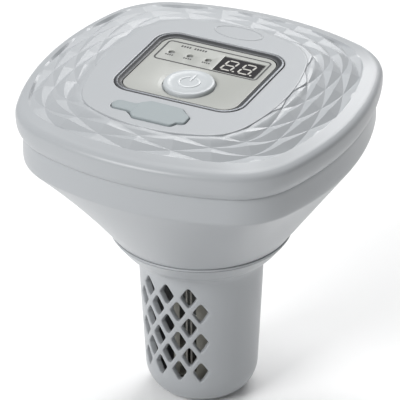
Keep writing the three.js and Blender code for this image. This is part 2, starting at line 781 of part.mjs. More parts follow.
function headORing() {
  const centre = 22.75;
  const r = 0.9;
  const profile = [];
  for (let i = 0; i <= 8; i++) {
    const angle = (2 * Math.PI * i) / 8;
    profile.push([centre + r * Math.cos(angle), 97.5 + r * Math.sin(angle)]);
  }
  return lathe(profile, 32);
}

function terminalStud(x) {
  const profile = [
    [0, 88.9],
    [2, 88.9],
    [2, 107.6],
    [1.4, 108.2],
    [0, 108.2],
  ];
  return lathe(profile, 14).translate(x, 0, 0);
}

function terminalNut(x) {
  return cut(disc(4, 103.3, 106.1, x, 0, 6), disc(2.3, 100, 110, x, 0, 14));
}

function electrodePlate(x) {
  return block(x - 0.45, x + 0.45, -HALF_PLATE, HALF_PLATE, PACK_LOW_Z, 88.3);
}

// Pale posts that stand between the plates at their front and back edges, on one base.
function plateGuide() {
  let guide = prism(roundedRect(-14.9, 14.9, -20, 20, 4), PACK_LOW_Z - 3.3, PACK_LOW_Z - GAP, 3);
  for (const { x, half, y } of GUIDE_POSTS) {
    for (const way of [-1, 1]) {
      const y0 = way * y - 1.5;
      guide = guide.add(block(x - half, x + half, y0, y0 + 3, PACK_LOW_Z - 2, HEAD_LOW_Z - GAP));
    }
  }
  return guide;
}

// ---------------------------------------------------------------- cage
function ellipseQuarter(rCentre, zCentre, a, b, steps) {
  const points = [];
  for (let i = 0; i <= steps; i++) {
    const angle = (Math.PI / 2) * (i / steps);
    points.push([rCentre + a * Math.sin(angle), zCentre - b * Math.cos(angle)]);
  }
  return points;
}

function cageProfile() {
  const outer = [
    ...ellipseQuarter(FOOT_R, WALL_LOW.z, WALL_LOW.r - FOOT_R, WALL_LOW.z, 4),
    [WALL_TOP.r, WALL_TOP.z],
    [33.2, 77.4],
    [35.4, 81.3],
    [40.5, 85.6],
    [44.2, 90],
    [47.2, 93.6],
    [47.2, CAGE_RIM_Z],
  ];
  const floorZ = CAGE_WALL;
  const innerLow = WALL_LOW.r - CAGE_WALL;
  const inner = [
    [CAGE_BORE_R, CAGE_RIM_Z],
    [CAGE_BORE_R, 88.6],
    [37.8, 86.6],
    [32.4, 82.2],
    [30.2, 78],
    [WALL_TOP.r - CAGE_WALL, WALL_TOP.z],
    ...ellipseQuarter(FOOT_R - 1, WALL_LOW.z, innerLow - FOOT_R + 1, WALL_LOW.z - floorZ, 3).reverse(),
  ];
  return [[0, 0], ...outer, ...inner, [0, floorZ]];
}

function diamondHole(azimuthDeg, z) {
  const tip = 1.1;
  const side = 0.8;
  const w = HOLE_HALF_WIDTH;
  const h = HOLE_HALF_HEIGHT;
  const quarter = [
    [w, side],
    [tip, h],
  ];
  const half = [...quarter, ...quarter.map(([x, y]) => [-x, y]).reverse()];
  const outline = [...half, ...half.map(([x, y]) => [-x, -y])];
  const shape = new THREE.Shape(outline.map(([x, y]) => new THREE.Vector2(x, y)));
  const geometry = new THREE.ExtrudeGeometry(shape, { depth: 16, bevelEnabled: false });
  geometry.rotateX(Math.PI / 2).translate(0, -22, z);
  return solidOf(geometry.rotateZ(THREE.MathUtils.degToRad(azimuthDeg)));
}

function cage() {
  let body = solidOf(lathe(cageProfile(), 48));
  for (const face of [0, 180]) {
    for (let column = 0; column < HOLE_COLUMNS; column++) {
      const offset = column - (HOLE_COLUMNS - 1) / 2;
      const azimuth = face + HOLE_CENTRE_DEG + HOLE_STEP_DEG * offset;
      const low = HOLE_LOW_Z + (column % 2 === 1 ? HOLE_PITCH / 2 : 0);
      for (let row = 0; row < HOLE_ROWS; row++) {
        body = cut(body, diamondHole(azimuth, low + HOLE_PITCH * row));
      }
    }
  }
  for (let i = 0; i < 4; i++) {
    const angle = (Math.PI / 2) * i + Math.PI / 4;
    body = cut(body, disc(2, -1, 6, 11 * Math.cos(angle), 11 * Math.sin(angle), 12));
  }
  return addLugs(body, CAGE_LUG);
}

function neckRing() {
  const profile = [
    [41.5, 94.6],
    [47.3, 94.6],
    [47.5, 94.95],
    [47.3, 95.3],
    [41.5, 95.3],
    [41.5, 94.6],
  ];
  return lathe(profile, 48);
}

// ---------------------------------------------------------------- assembly
const chlorinator = new THREE.Group();

function place(parent, name, shape, finish) {
  const geometry = shape.isBufferGeometry ? shape : geometryOf(shape);
  const mesh = new THREE.Mesh(geometry, finish);
  mesh.name = name;
  parent.add(mesh);
}

function addLid(parent) {
  place(parent, "top_cover", topCover(), HOUSING);
  place(parent, "panel_frame", panelFrame(), CHROME);
  place(parent, "panel_plate", panelPlate(), FACE_PLATE);
  place(parent, "display_module", displayModule(), DISPLAY_BLACK);
  for (const [level, x] of Object.entries(LIGHTS)) place(parent, `light_${level}`, lightPipe(x), CLEAR_LIGHT);
  place(parent, "power_button", powerButton(), BUTTON_WHITE);
  place(parent, "button_seal", buttonSeal(), DARK_RUBBER);
  place(parent, "button_switch", buttonSwitch(), BLACK_PLASTIC);
  place(parent, "display_board", displayBoard(), BOARD_GREEN);
  corners(DISPLAY_POST).forEach(([x, y], i) => {
    const shape = screw(x, y, DISPLAY_BOARD_Z - GAP, 8, 3, 1.3, true);
    place(parent, `display_board_screw_${i + 1}`, shape, STEEL);
  });
  place(parent, "flap_anchor", flapAnchor(), RUBBER);
  place(parent, "charge_flap", chargeFlap(), RUBBER);
  place(parent, "charge_socket", chargeSocket(), BLACK_PLASTIC);
  place(parent, "lid_gasket", lidGasket(), DARK_RUBBER);
}

function addHull(parent) {
  place(parent, "hull", hull(), HOUSING);
  place(parent, "battery_tray", batteryTray(), BLACK_PLASTIC);
  for (let i = 0; i < 4; i++) {
    place(parent, `battery_cell_${i + 1}`, batteryCell((i - 1.5) * BATTERY_PITCH), BATTERY_BLUE);
  }
  const end = BATTERY_LENGTH / 2 + GAP;
  place(parent, "battery_tab_front", batteryTab(-end - 0.5, -end), NICKEL);
  place(parent, "battery_tab_back", batteryTab(end, end + 0.5), NICKEL);
  place(parent, "battery_strap", batteryStrap(), BLACK_PLASTIC);
  TRAY_SCREW_YS.forEach((y, i) => {
    const shape = screw(0, y, TRAY_Z + 2.2 + GAP, 9, 3, 1.4, false);
    place(parent, `tray_screw_${i + 1}`, shape, STEEL);
  });
  place(parent, "main_board", mainBoard(), BOARD_GREEN);
  corners(BOARD_POST).forEach(([x, y], i) => {
    const shape = screw(x, y, PART_Z, 9, 3, 1.4, false);
    place(parent, `main_board_screw_${i + 1}`, shape, STEEL);
  });
  place(parent, "inductor", inductor(), FERRITE);
  place(parent, "capacitor", capacitor(), BLACK_PLASTIC);
  place(parent, "board_connector", block(-7, 7, -37.5, -30.5, PART_Z, PART_Z + 6), FACE_PLATE);
  place(parent, "ribbon_cable", ribbonCable(), CLEAR_LIGHT);
  place(parent, "electrode_wire_1", electrodeWire(1), WIRE_RED);
  place(parent, "electrode_wire_2", electrodeWire(-1), WIRE_BLACK);
}

function addElectrodeCell(parent) {
  HEAD_SCREWS.forEach(([x, y], i) => {
    place(parent, `head_screw_${i + 1}`, screw(x, y, 92.3, 8, 2.8, 1.2, true), STEEL);
  });
  const pack = new THREE.Group();
  pack.rotation.z = THREE.MathUtils.degToRad(CELL_TURN_DEG);
  parent.add(pack);
  place(pack, "electrode_head", electrodeHead(), POST_BEIGE);
  place(pack, "head_o_ring", headORing(), DARK_RUBBER);
  [-6.7, 6.7].forEach((x, i) => {
    place(pack, `terminal_stud_${i + 1}`, terminalStud(x), TITANIUM);
    place(pack, `terminal_nut_${i + 1}`, terminalNut(x), STEEL);
  });
  PLATE_OFFSETS.forEach((x, i) => place(pack, `electrode_plate_${i + 1}`, electrodePlate(x), TITANIUM));
  place(pack, "plate_guide", plateGuide(), POST_BEIGE);
}

addLid(chlorinator);
addHull(chlorinator);
addElectrodeCell(chlorinator);
place(chlorinator, "neck_ring", neckRing(), CHROME);
place(chlorinator, "cage", cage(), HOUSING);

export default chlorinator;
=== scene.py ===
"""Looks of the floating salt chlorinator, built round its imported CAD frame.

Pieces are written in millimetres in the row frame: +Z up, the panel's lower edge towards -Y.
"""

import json
import math

import bmesh
import bpy
import numpy as np
from mathutils import Matrix, Vector
from mathutils.geometry import delaunay_2d_cdt

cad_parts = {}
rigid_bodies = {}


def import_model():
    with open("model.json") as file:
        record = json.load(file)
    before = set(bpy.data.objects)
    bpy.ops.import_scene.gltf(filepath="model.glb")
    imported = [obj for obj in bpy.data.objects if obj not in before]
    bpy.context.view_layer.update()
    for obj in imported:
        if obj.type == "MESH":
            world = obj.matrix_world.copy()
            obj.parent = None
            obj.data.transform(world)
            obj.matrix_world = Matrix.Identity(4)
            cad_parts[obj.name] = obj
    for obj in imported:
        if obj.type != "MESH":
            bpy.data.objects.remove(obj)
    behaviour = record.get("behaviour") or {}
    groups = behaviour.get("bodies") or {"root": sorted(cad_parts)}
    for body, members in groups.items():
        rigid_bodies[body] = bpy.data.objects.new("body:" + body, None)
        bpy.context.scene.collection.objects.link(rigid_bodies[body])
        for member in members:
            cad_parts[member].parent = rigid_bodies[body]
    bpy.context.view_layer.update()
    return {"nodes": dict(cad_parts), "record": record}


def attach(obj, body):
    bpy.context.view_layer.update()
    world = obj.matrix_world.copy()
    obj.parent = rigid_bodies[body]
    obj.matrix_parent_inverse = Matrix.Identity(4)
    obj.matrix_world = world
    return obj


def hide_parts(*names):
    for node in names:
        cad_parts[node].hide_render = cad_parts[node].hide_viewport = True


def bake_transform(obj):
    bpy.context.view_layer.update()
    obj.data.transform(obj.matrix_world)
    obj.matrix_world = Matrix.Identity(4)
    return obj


MM = 0.001

# ------------------------------------------------------------------ sizes shared by the pieces
HALF_WIDTH = 88.0
TOP_Z = 186.7
LID_RIM_Z = 163.4
HULL_RIM_Z = 163.1
HULL_BASE_Z = 95.6
HULL_BASE_R = 47.0
FUNNEL_TOP_Z = 148.4
FUNNEL_TOP_W = 84.95
SIDE_ARC = 1.84  # plan outline: radius of the bowed sides, per half width
CORNER_ARC = 0.46  # plan outline: radius of the corners, per half width

FACET_COLUMNS = 24
FACET_ROWS = 6
FACET_STEPS = 8  # grid steps across one facet column or row
FACET_EDGE_ROW = -0.2  # where the smooth border ends, outside row 0
FACET_DEPTH = 1.9
FACET_OUTER = (79.5, 78.0)  # half sizes of row 0, along X and Y
FACET_PITCH = (5.0, 4.67)  # how much each further row closes in, along X and Y
FACET_SHIFT = (-2.0, 0.5)  # centre of row 0 along X, and its move from row to row
FACET_SPARE_STEPS = 5  # grid steps that run on under the plateau
FACET_TAPER = (0.06, 0.35)  # fraction beyond the plateau's edge with full depth, and least share of it

CREST = 0.962  # fraction at which the crowned ring meets the rounded edge
CREST_Z = 178.34
DOME_POWER = 1.25
PLATEAU = (52.0, 58.7, -5.8)  # half sizes and centre in Y
PLATEAU_STEP = 0.35
PLATEAU_LOW_Z = 180.0
RECESS = (-37, 37, -34.3, 33.4, 12)  # panel recess: X range, Y range and corner radius
RECESS_OPENING = (-30.5, 30.5, -29, 27, 7)  # opening in its floor, in the same order
RECESS_FLOOR_Z = 183.7
POCKET_GAP = 0.35  # room between the flap and its pocket
POCKET_FLOOR_Z = 185.5
EMBLEM = (13.4, 6.0, 45.8)  # half sizes and centre in Y

PANEL_TRIM = (-36.7, 36.7, -34.0, 33.1, 11.7)
PANEL_FACE = (-32.5, 32.5, -29.8, 28.9, 8)
PANEL_LINE = (-29.9, 29.5, 4.4, 25.6, 2.6)
PANEL_LINE_WIDTH = 0.95
PRINT_SINK = 0.05  # how far print and digits stand into the surface below
PRINT_RISE = 0.05
PLATE_THICKNESS = 1.6
BUTTON = (0.0, -12.8)
BUTTON_R = 13.4
BUTTON_TOP_Z = 187.1
BUTTON_ROUND = 1.2
MARK_R = 5.3
MARK_HALF_WIDTH = 0.62
DISPLAY = (15.7, 13.95, 23.0, 15.3)  # centre, width, height
DIGIT_HALF_WIDTH = 2.9
DIGIT_HALF_HEIGHT = 4.9
DIGIT_SLANT = math.tan(math.radians(6))
BAR_GAP = 0.35  # between a bar's pointed end and the digit's corner
BAR_HALF_WIDTH = 0.52
DIGIT_RISE = 0.04
LIGHTS = (-23.2, -12.7, -2.1)
LIGHT_Y = 14.1
LIGHT_R = 1.5
LIGHT_LOW_Z = 172.2
LIGHT_SINK = 1.2  # from the plate's face down to the light's dome
LIGHT_DOME = 0.5
SOCKET = (0.0, -48.4)
SOCKET_R = 4.6
SOCKET_LOW_Z = 177.0
STRAP_Y = -49.2
STRAP_X = (-25.5, -22.0, -12.2)  # root's round end, end of its rounding, and the pad
FLAP_LOW_Z = 185.85
PLATE_Z = 185.7

HOLE_COLUMNS = 7
HOLE_STEP = 11.25
HOLE_CENTRE = -8.4  # azimuth of the middle column, from the front towards +X
HOLE_ROWS = 3
HOLE_PITCH = 18.6
HOLE_LOW_Z = 22.5
HOLE_HALF_WIDTH = 4.45
HOLE_HALF_HEIGHT = 6.95
CELL_TURN_DEG = 26.3  # turn of the electrode pack about Z

CAMERA_AZIMUTH = 26.29
CAMERA_ELEVATION = 30.29
CAMERA_ROLL = -0.378
CAMERA_DISTANCE = 2.6932
CAMERA_AIM = (-0.00049, -0.06611)  # the view's centre, right of and above the plateau's centre
CAMERA_LENS = 471.7


# ------------------------------------------------------------------ materials
GRAIN_HEIGHT = 0.00003  # metres


def new_material(name):
    material = bpy.data.materials.new(name)
    material.use_nodes = True
    return material, material.node_tree, material.node_tree.nodes["Principled BSDF"]


def add_grain(tree, shader, scale, strength):
    """A fine moulded texture: noise in object space that drives a bump."""
    where = tree.nodes.new("ShaderNodeTexCoord")
    noise = tree.nodes.new("ShaderNodeTexNoise")
    noise.inputs["Scale"].default_value = scale
    noise.inputs["Detail"].default_value = 3.0
    bump = tree.nodes.new("ShaderNodeBump")
    bump.inputs["Strength"].default_value = strength
    bump.inputs["Distance"].default_value = GRAIN_HEIGHT
    tree.links.new(where.outputs["Object"], noise.inputs["Vector"])
    tree.links.new(noise.outputs["Fac"], bump.inputs["Height"])
    tree.links.new(bump.outputs["Normal"], shader.inputs["Normal"])


def add_wear(tree, shader, socket, low, high, scale):
    """Slow, faint variation of one value over the surface."""
    where = tree.nodes.new("ShaderNodeTexCoord")
    noise = tree.nodes.new("ShaderNodeTexNoise")
    noise.inputs["Scale"].default_value = scale
    noise.inputs["Detail"].default_value = 4.0
    ramp = tree.nodes.new("ShaderNodeMapRange")
    ramp.inputs["To Min"].default_value = low
    ramp.inputs["To Max"].default_value = high
    tree.links.new(where.outputs["Object"], noise.inputs["Vector"])
    tree.links.new(noise.outputs["Fac"], ramp.inputs["Value"])
    tree.links.new(ramp.outputs["Result"], shader.inputs[socket])


def plain(name, color, roughness, metallic=0.0, grain=None, wear=None, coat=0.0):
    material, tree, shader = new_material(name)
    shader.inputs["Base Color"].default_value = (*color, 1.0)
    shader.inputs["Roughness"].default_value = roughness
    shader.inputs["Metallic"].default_value = metallic
    shader.inputs["Coat Weight"].default_value = coat
    if grain:
        add_grain(tree, shader, *grain)
    if wear:
        add_wear(tree, shader, "Roughness", *wear)
    return material


def board_material():
    """Green solder mask with slightly lighter copper areas under it."""
    material, tree, shader = new_material("circuit_board")
    where = tree.nodes.new("ShaderNodeTexCoord")
    cells = tree.nodes.new("ShaderNodeTexVoronoi")
    cells.inputs["Scale"].default_value = 260.0
    mix = tree.nodes.new("ShaderNodeValToRGB")
    mix.color_ramp.elements[0].color = (0.012, 0.09, 0.035, 1.0)
    mix.color_ramp.elements[1].color = (0.03, 0.17, 0.07, 1.0)
    tree.links.new(where.outputs["Object"], cells.inputs["Vector"])
    tree.links.new(cells.outputs["Distance"], mix.inputs["Fac"])
    tree.links.new(mix.outputs["Color"], shader.inputs["Base Color"])
    shader.inputs["Roughness"].default_value = 0.35
    return material


def electrode_material():
    """Titanium plates: bare metal at the cut edges, and on the broad faces a dark oxide coating taken
    almost black, which also serves as painted shade for the gaps between the plates.
    """
    material, tree, shader = new_material("electrode_metal")
    turn = math.radians(CELL_TURN_DEG)
    where = tree.nodes.new("ShaderNodeTexCoord")
    facing = tree.nodes.new("ShaderNodeVectorMath")
    facing.operation = "DOT_PRODUCT"
    facing.inputs[1].default_value = (math.cos(turn), math.sin(turn), 0.0)
    size = tree.nodes.new("ShaderNodeMath")
    size.operation = "ABSOLUTE"
    coated_and_shaded = tree.nodes.new("ShaderNodeMapRange")
    coated_and_shaded.inputs["From Min"].default_value = 0.8
    coated_and_shaded.inputs["From Max"].default_value = 0.97
    color = tree.nodes.new("ShaderNodeValToRGB")
    color.color_ramp.elements[0].color = (0.42, 0.41, 0.38, 1.0)
    # near black: the coating's own dark grey, deepened into painted shade for the gaps between the plates
    color.color_ramp.elements[1].color = (0.008, 0.008, 0.008, 1.0)
    tree.links.new(where.outputs["Normal"], facing.inputs[0])
    tree.links.new(facing.outputs["Value"], size.inputs[0])
    tree.links.new(size.outputs["Value"], coated_and_shaded.inputs["Value"])
    tree.links.new(coated_and_shaded.outputs["Result"], color.inputs["Fac"])
    tree.links.new(color.outputs["Color"], shader.inputs["Base Color"])
    shader.inputs["Roughness"].default_value = 0.5
    shader.inputs["Metallic"].default_value = 0.3
    shader.inputs["Specular IOR Level"].default_value = 0.2
    add_grain(tree, shader, 1800.0, 0.4)
    return material


def make_materials():
    housing = (0.396, 0.413, 0.430)
    return {
        "housing_plastic": plain(
            "housing_plastic", housing, 0.33, grain=(2600.0, 0.2), wear=(0.3, 0.37, 30.0)
        ),
        "trim_chrome": plain("trim_chrome", (0.17, 0.177, 0.19), 0.42, 1.0, wear=(0.38, 0.46, 60.0)),
        # trim_dark: painted shade in the gap round the trim's lip, and a painted dark reflection on its
        # inner slope
        "trim_dark": plain("trim_dark", (0.04, 0.043, 0.047), 0.45, wear=(0.4, 0.5, 60.0)),
        "face_plate": plain(
            "face_plate", (0.365, 0.374, 0.353), 0.34, grain=(3200.0, 0.12), wear=(0.3, 0.38, 50.0)
        ),
        "print_dark": plain("print_dark", (0.02, 0.02, 0.022), 0.5, grain=(2000.0, 0.1)),
        "display_window": plain(
            "display_window", (0.012, 0.011, 0.013), 0.12, coat=0.5, wear=(0.1, 0.14, 90.0)
        ),
        "segment": plain("segment", (0.46, 0.45, 0.42), 0.45, grain=(3000.0, 0.1)),
        "light_pipe": plain("light_pipe", (0.22, 0.223, 0.226), 0.3, wear=(0.3, 0.38, 200.0)),
        "button_plastic": plain(
            "button_plastic", (0.47, 0.495, 0.51), 0.32, grain=(2600.0, 0.12), wear=(0.28, 0.36, 60.0)
        ),
        # button_mark: lighter than the button's plastic as a painted highlight; the raised mark is moulded
        # in the same plastic
        "button_mark": plain("button_mark", (0.60, 0.625, 0.64), 0.3, grain=(2600.0, 0.1)),
        "flap_rubber": plain(
            "flap_rubber", (0.285, 0.322, 0.334), 0.62, grain=(3400.0, 0.35), wear=(0.55, 0.68, 80.0)
        ),
        "seal_rubber": plain("seal_rubber", (0.02, 0.02, 0.021), 0.7, grain=(2500.0, 0.3)),
        "black_plastic": plain("black_plastic", (0.018, 0.018, 0.02), 0.5, grain=(2500.0, 0.25)),
        "circuit_board": board_material(),
        "screw_steel": plain("screw_steel", (0.52, 0.52, 0.53), 0.28, 1.0, wear=(0.2, 0.36, 400.0)),
        "battery_wrap": plain("battery_wrap", (0.03, 0.12, 0.34), 0.3, wear=(0.25, 0.35, 60.0)),
        "nickel": plain("nickel", (0.62, 0.6, 0.55), 0.3, 1.0, wear=(0.22, 0.36, 300.0)),
        "ferrite": plain("ferrite", (0.04, 0.038, 0.036), 0.7, grain=(1500.0, 0.5)),
        "connector_plastic": plain("connector_plastic", (0.66, 0.64, 0.58), 0.45, grain=(2500.0, 0.2)),
        "ribbon_grey": plain("ribbon_grey", (0.42, 0.43, 0.45), 0.5, grain=(1200.0, 0.3)),
        "wire_red": plain("wire_red", (0.38, 0.018, 0.014), 0.45, grain=(1500.0, 0.2)),
        "wire_black": plain("wire_black", (0.02, 0.02, 0.02), 0.45, grain=(1500.0, 0.2)),
        "head_plastic": plain("head_plastic", (0.43, 0.42, 0.37), 0.5, grain=(2400.0, 0.25)),
        "electrode_metal": electrode_material(),
        "floor": plain("floor", (0.9, 0.9, 0.9), 0.7, grain=(400.0, 0.05)),
    }


# ------------------------------------------------------------------ mesh helpers
CRISP_DEG = 3.2


class Skin:
    """Points (in millimetres) and faces of one piece, gathered ring by ring."""

    def __init__(self):
        self.points = []
        self.faces = []
        self.slots = []
        self.slot = 0  # material slot of the faces made next
        self.crisp = set()  # faces whose edges stay sharp above CRISP_DEG

    def ring(self, points):
        start = len(self.points)
        self.points.extend(tuple(float(x) for x in p) for p in points)
        return list(range(start, len(self.points)))

    def face(self, *corners):
        self.faces.append(corners)
        self.slots.append(self.slot)

    def bridge(self, low, high):
        count = len(low)
        for i in range(count):
            j = (i + 1) % count
            self.face(low[i], low[j], high[j], high[i])

    def chain(self, rings, closed=False):
        indexed = [self.ring(r) for r in rings]
        for low, high in zip(indexed, indexed[1:]):
            self.bridge(low, high)
        if closed:
            self.bridge(indexed[-1], indexed[0])
        return indexed

    def cap(self, ring):
        middle = np.mean([self.points[i] for i in ring], axis=0)
        hub = self.ring([middle])[0]
        for i, index in enumerate(ring):
            self.face(hub, index, ring[(i + 1) % len(ring)])

    def fill(self, outer, holes=(), flat=None, place=None, extra=()):
        """Faces between loops. flat is each index's place in the plane; place lifts extra points."""
        flat = flat or {i: self.points[i][:2] for loop in (outer, *holes) for i in loop}
        loops = [outer, *holes]
        order = [i for loop in loops for i in loop]
        edges = []
        for loop in loops:
            first = len(edges)
            edges += [(first + k, first + (k + 1) % len(loop)) for k in range(len(loop))]
        plane = [Vector(flat[i]) for i in order] + [Vector(p) for p in extra]
        order += self.ring([place(*p) for p in extra]) if len(extra) else []
        made = delaunay_2d_cdt(plane, edges, [], 0, 1e-7)
        at = [order[origin[0]] for origin in made[3]]
        middles = np.array([np.mean([made[0][c] for c in t], axis=0) for t in made[2]])
        inside = within(middles, np.array([flat[i] for i in outer]))
        for hole in holes:
            inside &= ~within(middles, np.array([flat[i] for i in hole]))
        for t, kept in zip(made[2], inside):
            if kept:
                self.face(*(at[c] for c in t))

    def build(self, name, finishes, sharp=32.0):
        mesh = bpy.data.meshes.new(name)
        mesh.from_pydata([Vector(p) * MM for p in self.points], [], self.faces)
        mesh.polygons.foreach_set("material_index", self.slots)
        bm = bmesh.new()
        bm.from_mesh(mesh)
        bm.faces.ensure_lookup_table()
        crisp = {bm.faces[i] for i in self.crisp}
        bmesh.ops.remove_doubles(bm, verts=bm.verts, dist=2e-7)
        bmesh.ops.recalc_face_normals(bm, faces=bm.faces)
        for face in bm.faces:
            face.smooth = True
        for edge in bm.edges:
            if len(edge.link_faces) != 2:
                continue
            fine = any(f in crisp for f in edge.link_faces)
            edge.smooth = edge.calc_face_angle(0.0) < math.radians(CRISP_DEG if fine else sharp)
        bm.to_mesh(mesh)
        bm.free()
        for finish in finishes:
            mesh.materials.append(finish)
        piece = bpy.data.objects.new(name, mesh)
        bpy.context.scene.collection.objects.link(piece)
        return piece


def within(points, loop):
    """Which points lie inside a closed loop, by the even-odd rule."""
    x, y = points[:, :1], points[:, 1:2]
    x0, y0 = loop[:, 0], loop[:, 1]
    x1, y1 = np.roll(x0, -1), np.roll(y0, -1)
    straddles = (y0 > y) != (y1 > y)
    rise = np.where(y1 == y0, 1.0, y1 - y0)
    crossing = x0 + (y - y0) / rise * (x1 - x0)
    return (straddles & (x < crossing)).sum(1) % 2 == 1


def unit_outline(count):
    """Equally spaced points on the plan outline for a half width of 1, from +X round to +Y."""
    bow = SIDE_ARC - 1
    reach = SIDE_ARC - CORNER_ARC
    corner = (math.sqrt(2 * reach**2 - bow**2) - bow) / 2
    half = math.atan2(corner, corner + bow)
    side = SIDE_ARC * half
    bend = CORNER_ARC * (math.pi / 2 - 2 * half)
    quarter = 2 * side + bend
    points = []
    for i in range(count):
        turn, rest = divmod(4 * quarter * i / count, quarter)
        if rest < side:
            angle, radius, centre = rest / SIDE_ARC, SIDE_ARC, (-bow, 0)
        elif rest < side + bend:
            angle, radius, centre = half + (rest - side) / CORNER_ARC, CORNER_ARC, (corner, corner)
        else:
            angle = math.pi / 2 - half + (rest - side - bend) / SIDE_ARC
            radius, centre = SIDE_ARC, (0, -bow)
        x = centre[0] + radius * math.cos(angle)
        y = centre[1] + radius * math.sin(angle)
        c, s = math.cos(turn * math.pi / 2), math.sin(turn * math.pi / 2)
        points.append((x * c - y * s, x * s + y * c))
    return np.array(points)


def at_height(flat, z):
    return np.column_stack([flat, np.full(len(flat), z)])


def circle(count, r, centre=(0.0, 0.0), start=0.0):
    angle = start + 2 * np.pi * np.arange(count) / count
    return np.column_stack([centre[0] + r * np.cos(angle), centre[1] + r * np.sin(angle)])


def rounded_rect(x0, x1, y0, y1, corner, grow=0.0, steps=10):
    x0, x1, y0, y1, corner = x0 - grow, x1 + grow, y0 - grow, y1 + grow, corner + grow
    left, right, front, back = x0 + corner, x1 - corner, y0 + corner, y1 - corner
    points = []
    for k, (cx, cy) in enumerate([(right, front), (right, back), (left, back), (left, front)]):
        for i in range(steps + 1):
            angle = math.pi / 2 * (k - 1 + i / steps)
            points.append((cx + corner * math.cos(angle), cy + corner * math.sin(angle)))
    return np.array(points)


def rounded_polygon(corners, steps=5):
    """A closed outline from (x, y, radius) corners."""
    points = []
    count = len(corners)
    for i, (x, y, r) in enumerate(corners):
        here = np.array([x, y])
        before = np.array(corners[i - 1][:2]) - here
        after = np.array(corners[(i + 1) % count][:2]) - here
        before, after = before / np.linalg.norm(before), after / np.linalg.norm(after)
        half = math.acos(float(np.clip(before @ after, -1, 1))) / 2
        reach = r / math.tan(half)
        start, end = here + before * reach, here + after * reach
        for k in range(steps + 1):
            t = k / steps
            points.append((1 - t) ** 2 * start + 2 * t * (1 - t) * here + t**2 * end)
    return np.array(points)


def grown(loop, distance):
    """A closed counter-clockwise outline, moved outwards by a small distance."""
    ahead, behind = np.roll(loop, -1, 0), np.roll(loop, 1, 0)
    one, two = loop - behind, ahead - loop
    one /= np.linalg.norm(one, axis=1)[:, None] + 1e-12
    two /= np.linalg.norm(two, axis=1)[:, None] + 1e-12
    normal = np.column_stack([one[:, 1] + two[:, 1], -one[:, 0] - two[:, 0]])
    normal /= np.linalg.norm(normal, axis=1)[:, None]
    lean = np.clip((one * two).sum(1), -0.5, 1.0)
    return loop + normal * distance / np.sqrt((1 + lean) / 2)[:, None]


def smooth_path(points, steps):
    """Points along a Catmull-Rom curve through the given ones."""
    p = np.array(points, float)
    padded = np.vstack([2 * p[0] - p[1], p, 2 * p[-1] - p[-2]])
    out = []
    for i in range(1, len(padded) - 2):
        a, b, c, d = padded[i - 1 : i + 3]
        for k in range(steps):
            t = k / steps
            square = 2 * a - 5 * b + 4 * c - d
            cube = 3 * b - a - 3 * c + d
            out.append(0.5 * (2 * b + (c - a) * t + square * t**2 + cube * t**3))
    out.append(p[-1])
    return np.array(out)


def edge_round(radius, steps=4):
    """(inward, down) pairs over a rounded edge, from the flat top to the vertical side."""
    angles = [math.pi / 2 * k / steps for k in range(steps + 1)]
    return [(radius * (1 - math.sin(a)), radius * (1 - math.cos(a))) for a in angles]


def slab(skin, outline, low, high, edge, holes=(), bottom=True):
    """A plate with rounded upper edges. outline and holes are functions of how far the loop is grown."""
    top = skin.ring(at_height(outline(-edge * 1.6), high))
    rings = [top] + [skin.ring(at_height(outline(-i), high - d)) for i, d in edge_round(edge)]
    rings.append(skin.ring(at_height(outline(0.0), low)))
    for upper, lower in zip(rings, rings[1:]):
        skin.bridge(lower, upper)
    inner_tops, inner_lows = [], []
    for hole, hole_edge in holes:
        first = skin.ring(at_height(hole(hole_edge * 1.6), high))
        down = [first] + [skin.ring(at_height(hole(i), high - d)) for i, d in edge_round(hole_edge)]
        down.append(skin.ring(at_height(hole(0.0), low)))
        for upper, lower in zip(down, down[1:]):
            skin.bridge(upper, lower)
        inner_tops.append(first)
        inner_lows.append(down[-1])
    skin.fill(top, inner_tops)
    if bottom:
        skin.fill(rings[-1], inner_lows)


def turned(skin, profile, count=96, centre=(0.0, 0.0), closed=False):
    """A surface of revolution. A point with radius 0 ends it with a cap."""
    rings = [(r, z) for r, z in profile if r > 1e-6]
    indexed = skin.chain([at_height(circle(count, r, centre), z) for r, z in rings], closed)
    if profile[0][0] <= 1e-6:
        skin.cap(indexed[0])
    if profile[-1][0] <= 1e-6:
        skin.cap(indexed[-1])


def finish_piece(piece, body, slot, *nodes):
    """Puts a piece on its body in place of the CAD nodes it stands for, and hides those nodes. The slot
    argument is not used.
    """
    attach(piece, body)
    if nodes:
        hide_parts(*nodes)


# ------------------------------------------------------------------ lid
def dome(fraction, start):
    """Height of the lid's crowned ring, which falls away from the plateau's edge at the start."""
    beyond = np.clip((fraction - start) / (CREST - start), 0.0, None)
    return TOP_Z - PLATEAU_STEP - (TOP_Z - PLATEAU_STEP - CREST_Z) * beyond**DOME_POWER


def plateau_reach(outline):
    """Fraction of the half width at which the plateau's edge lies, for every outline point."""
    fractions = np.linspace(0.5, 0.85, 351)
    edge = plateau_outline(0.0)
    rays = (outline[:, None, :] * fractions[None, :, None] * HALF_WIDTH).reshape(-1, 2)
    inside = within(rays, edge).reshape(len(outline), -1)
    return fractions[0] + (fractions[1] - fractions[0]) * inside.sum(1)


def facet_row(outline, row):
    """Plan points of one row of the facets; the rows close in a little faster along X than along Y."""
    x = outline[:, 0] * (FACET_OUTER[0] - FACET_PITCH[0] * row) + FACET_SHIFT[0] + FACET_SHIFT[1] * row
    y = outline[:, 1] * (FACET_OUTER[1] - FACET_PITCH[1] * row)
    return np.column_stack([x, y])


def fraction_of(flat, outline):
    """How far out plan points lie, as fractions of the lid's half width."""
    return np.hypot(*flat.T) / (HALF_WIDTH * np.hypot(*outline.T))


def on_dome(flat, outline, reach):
    return np.column_stack([flat, dome(fraction_of(flat, outline), reach)])


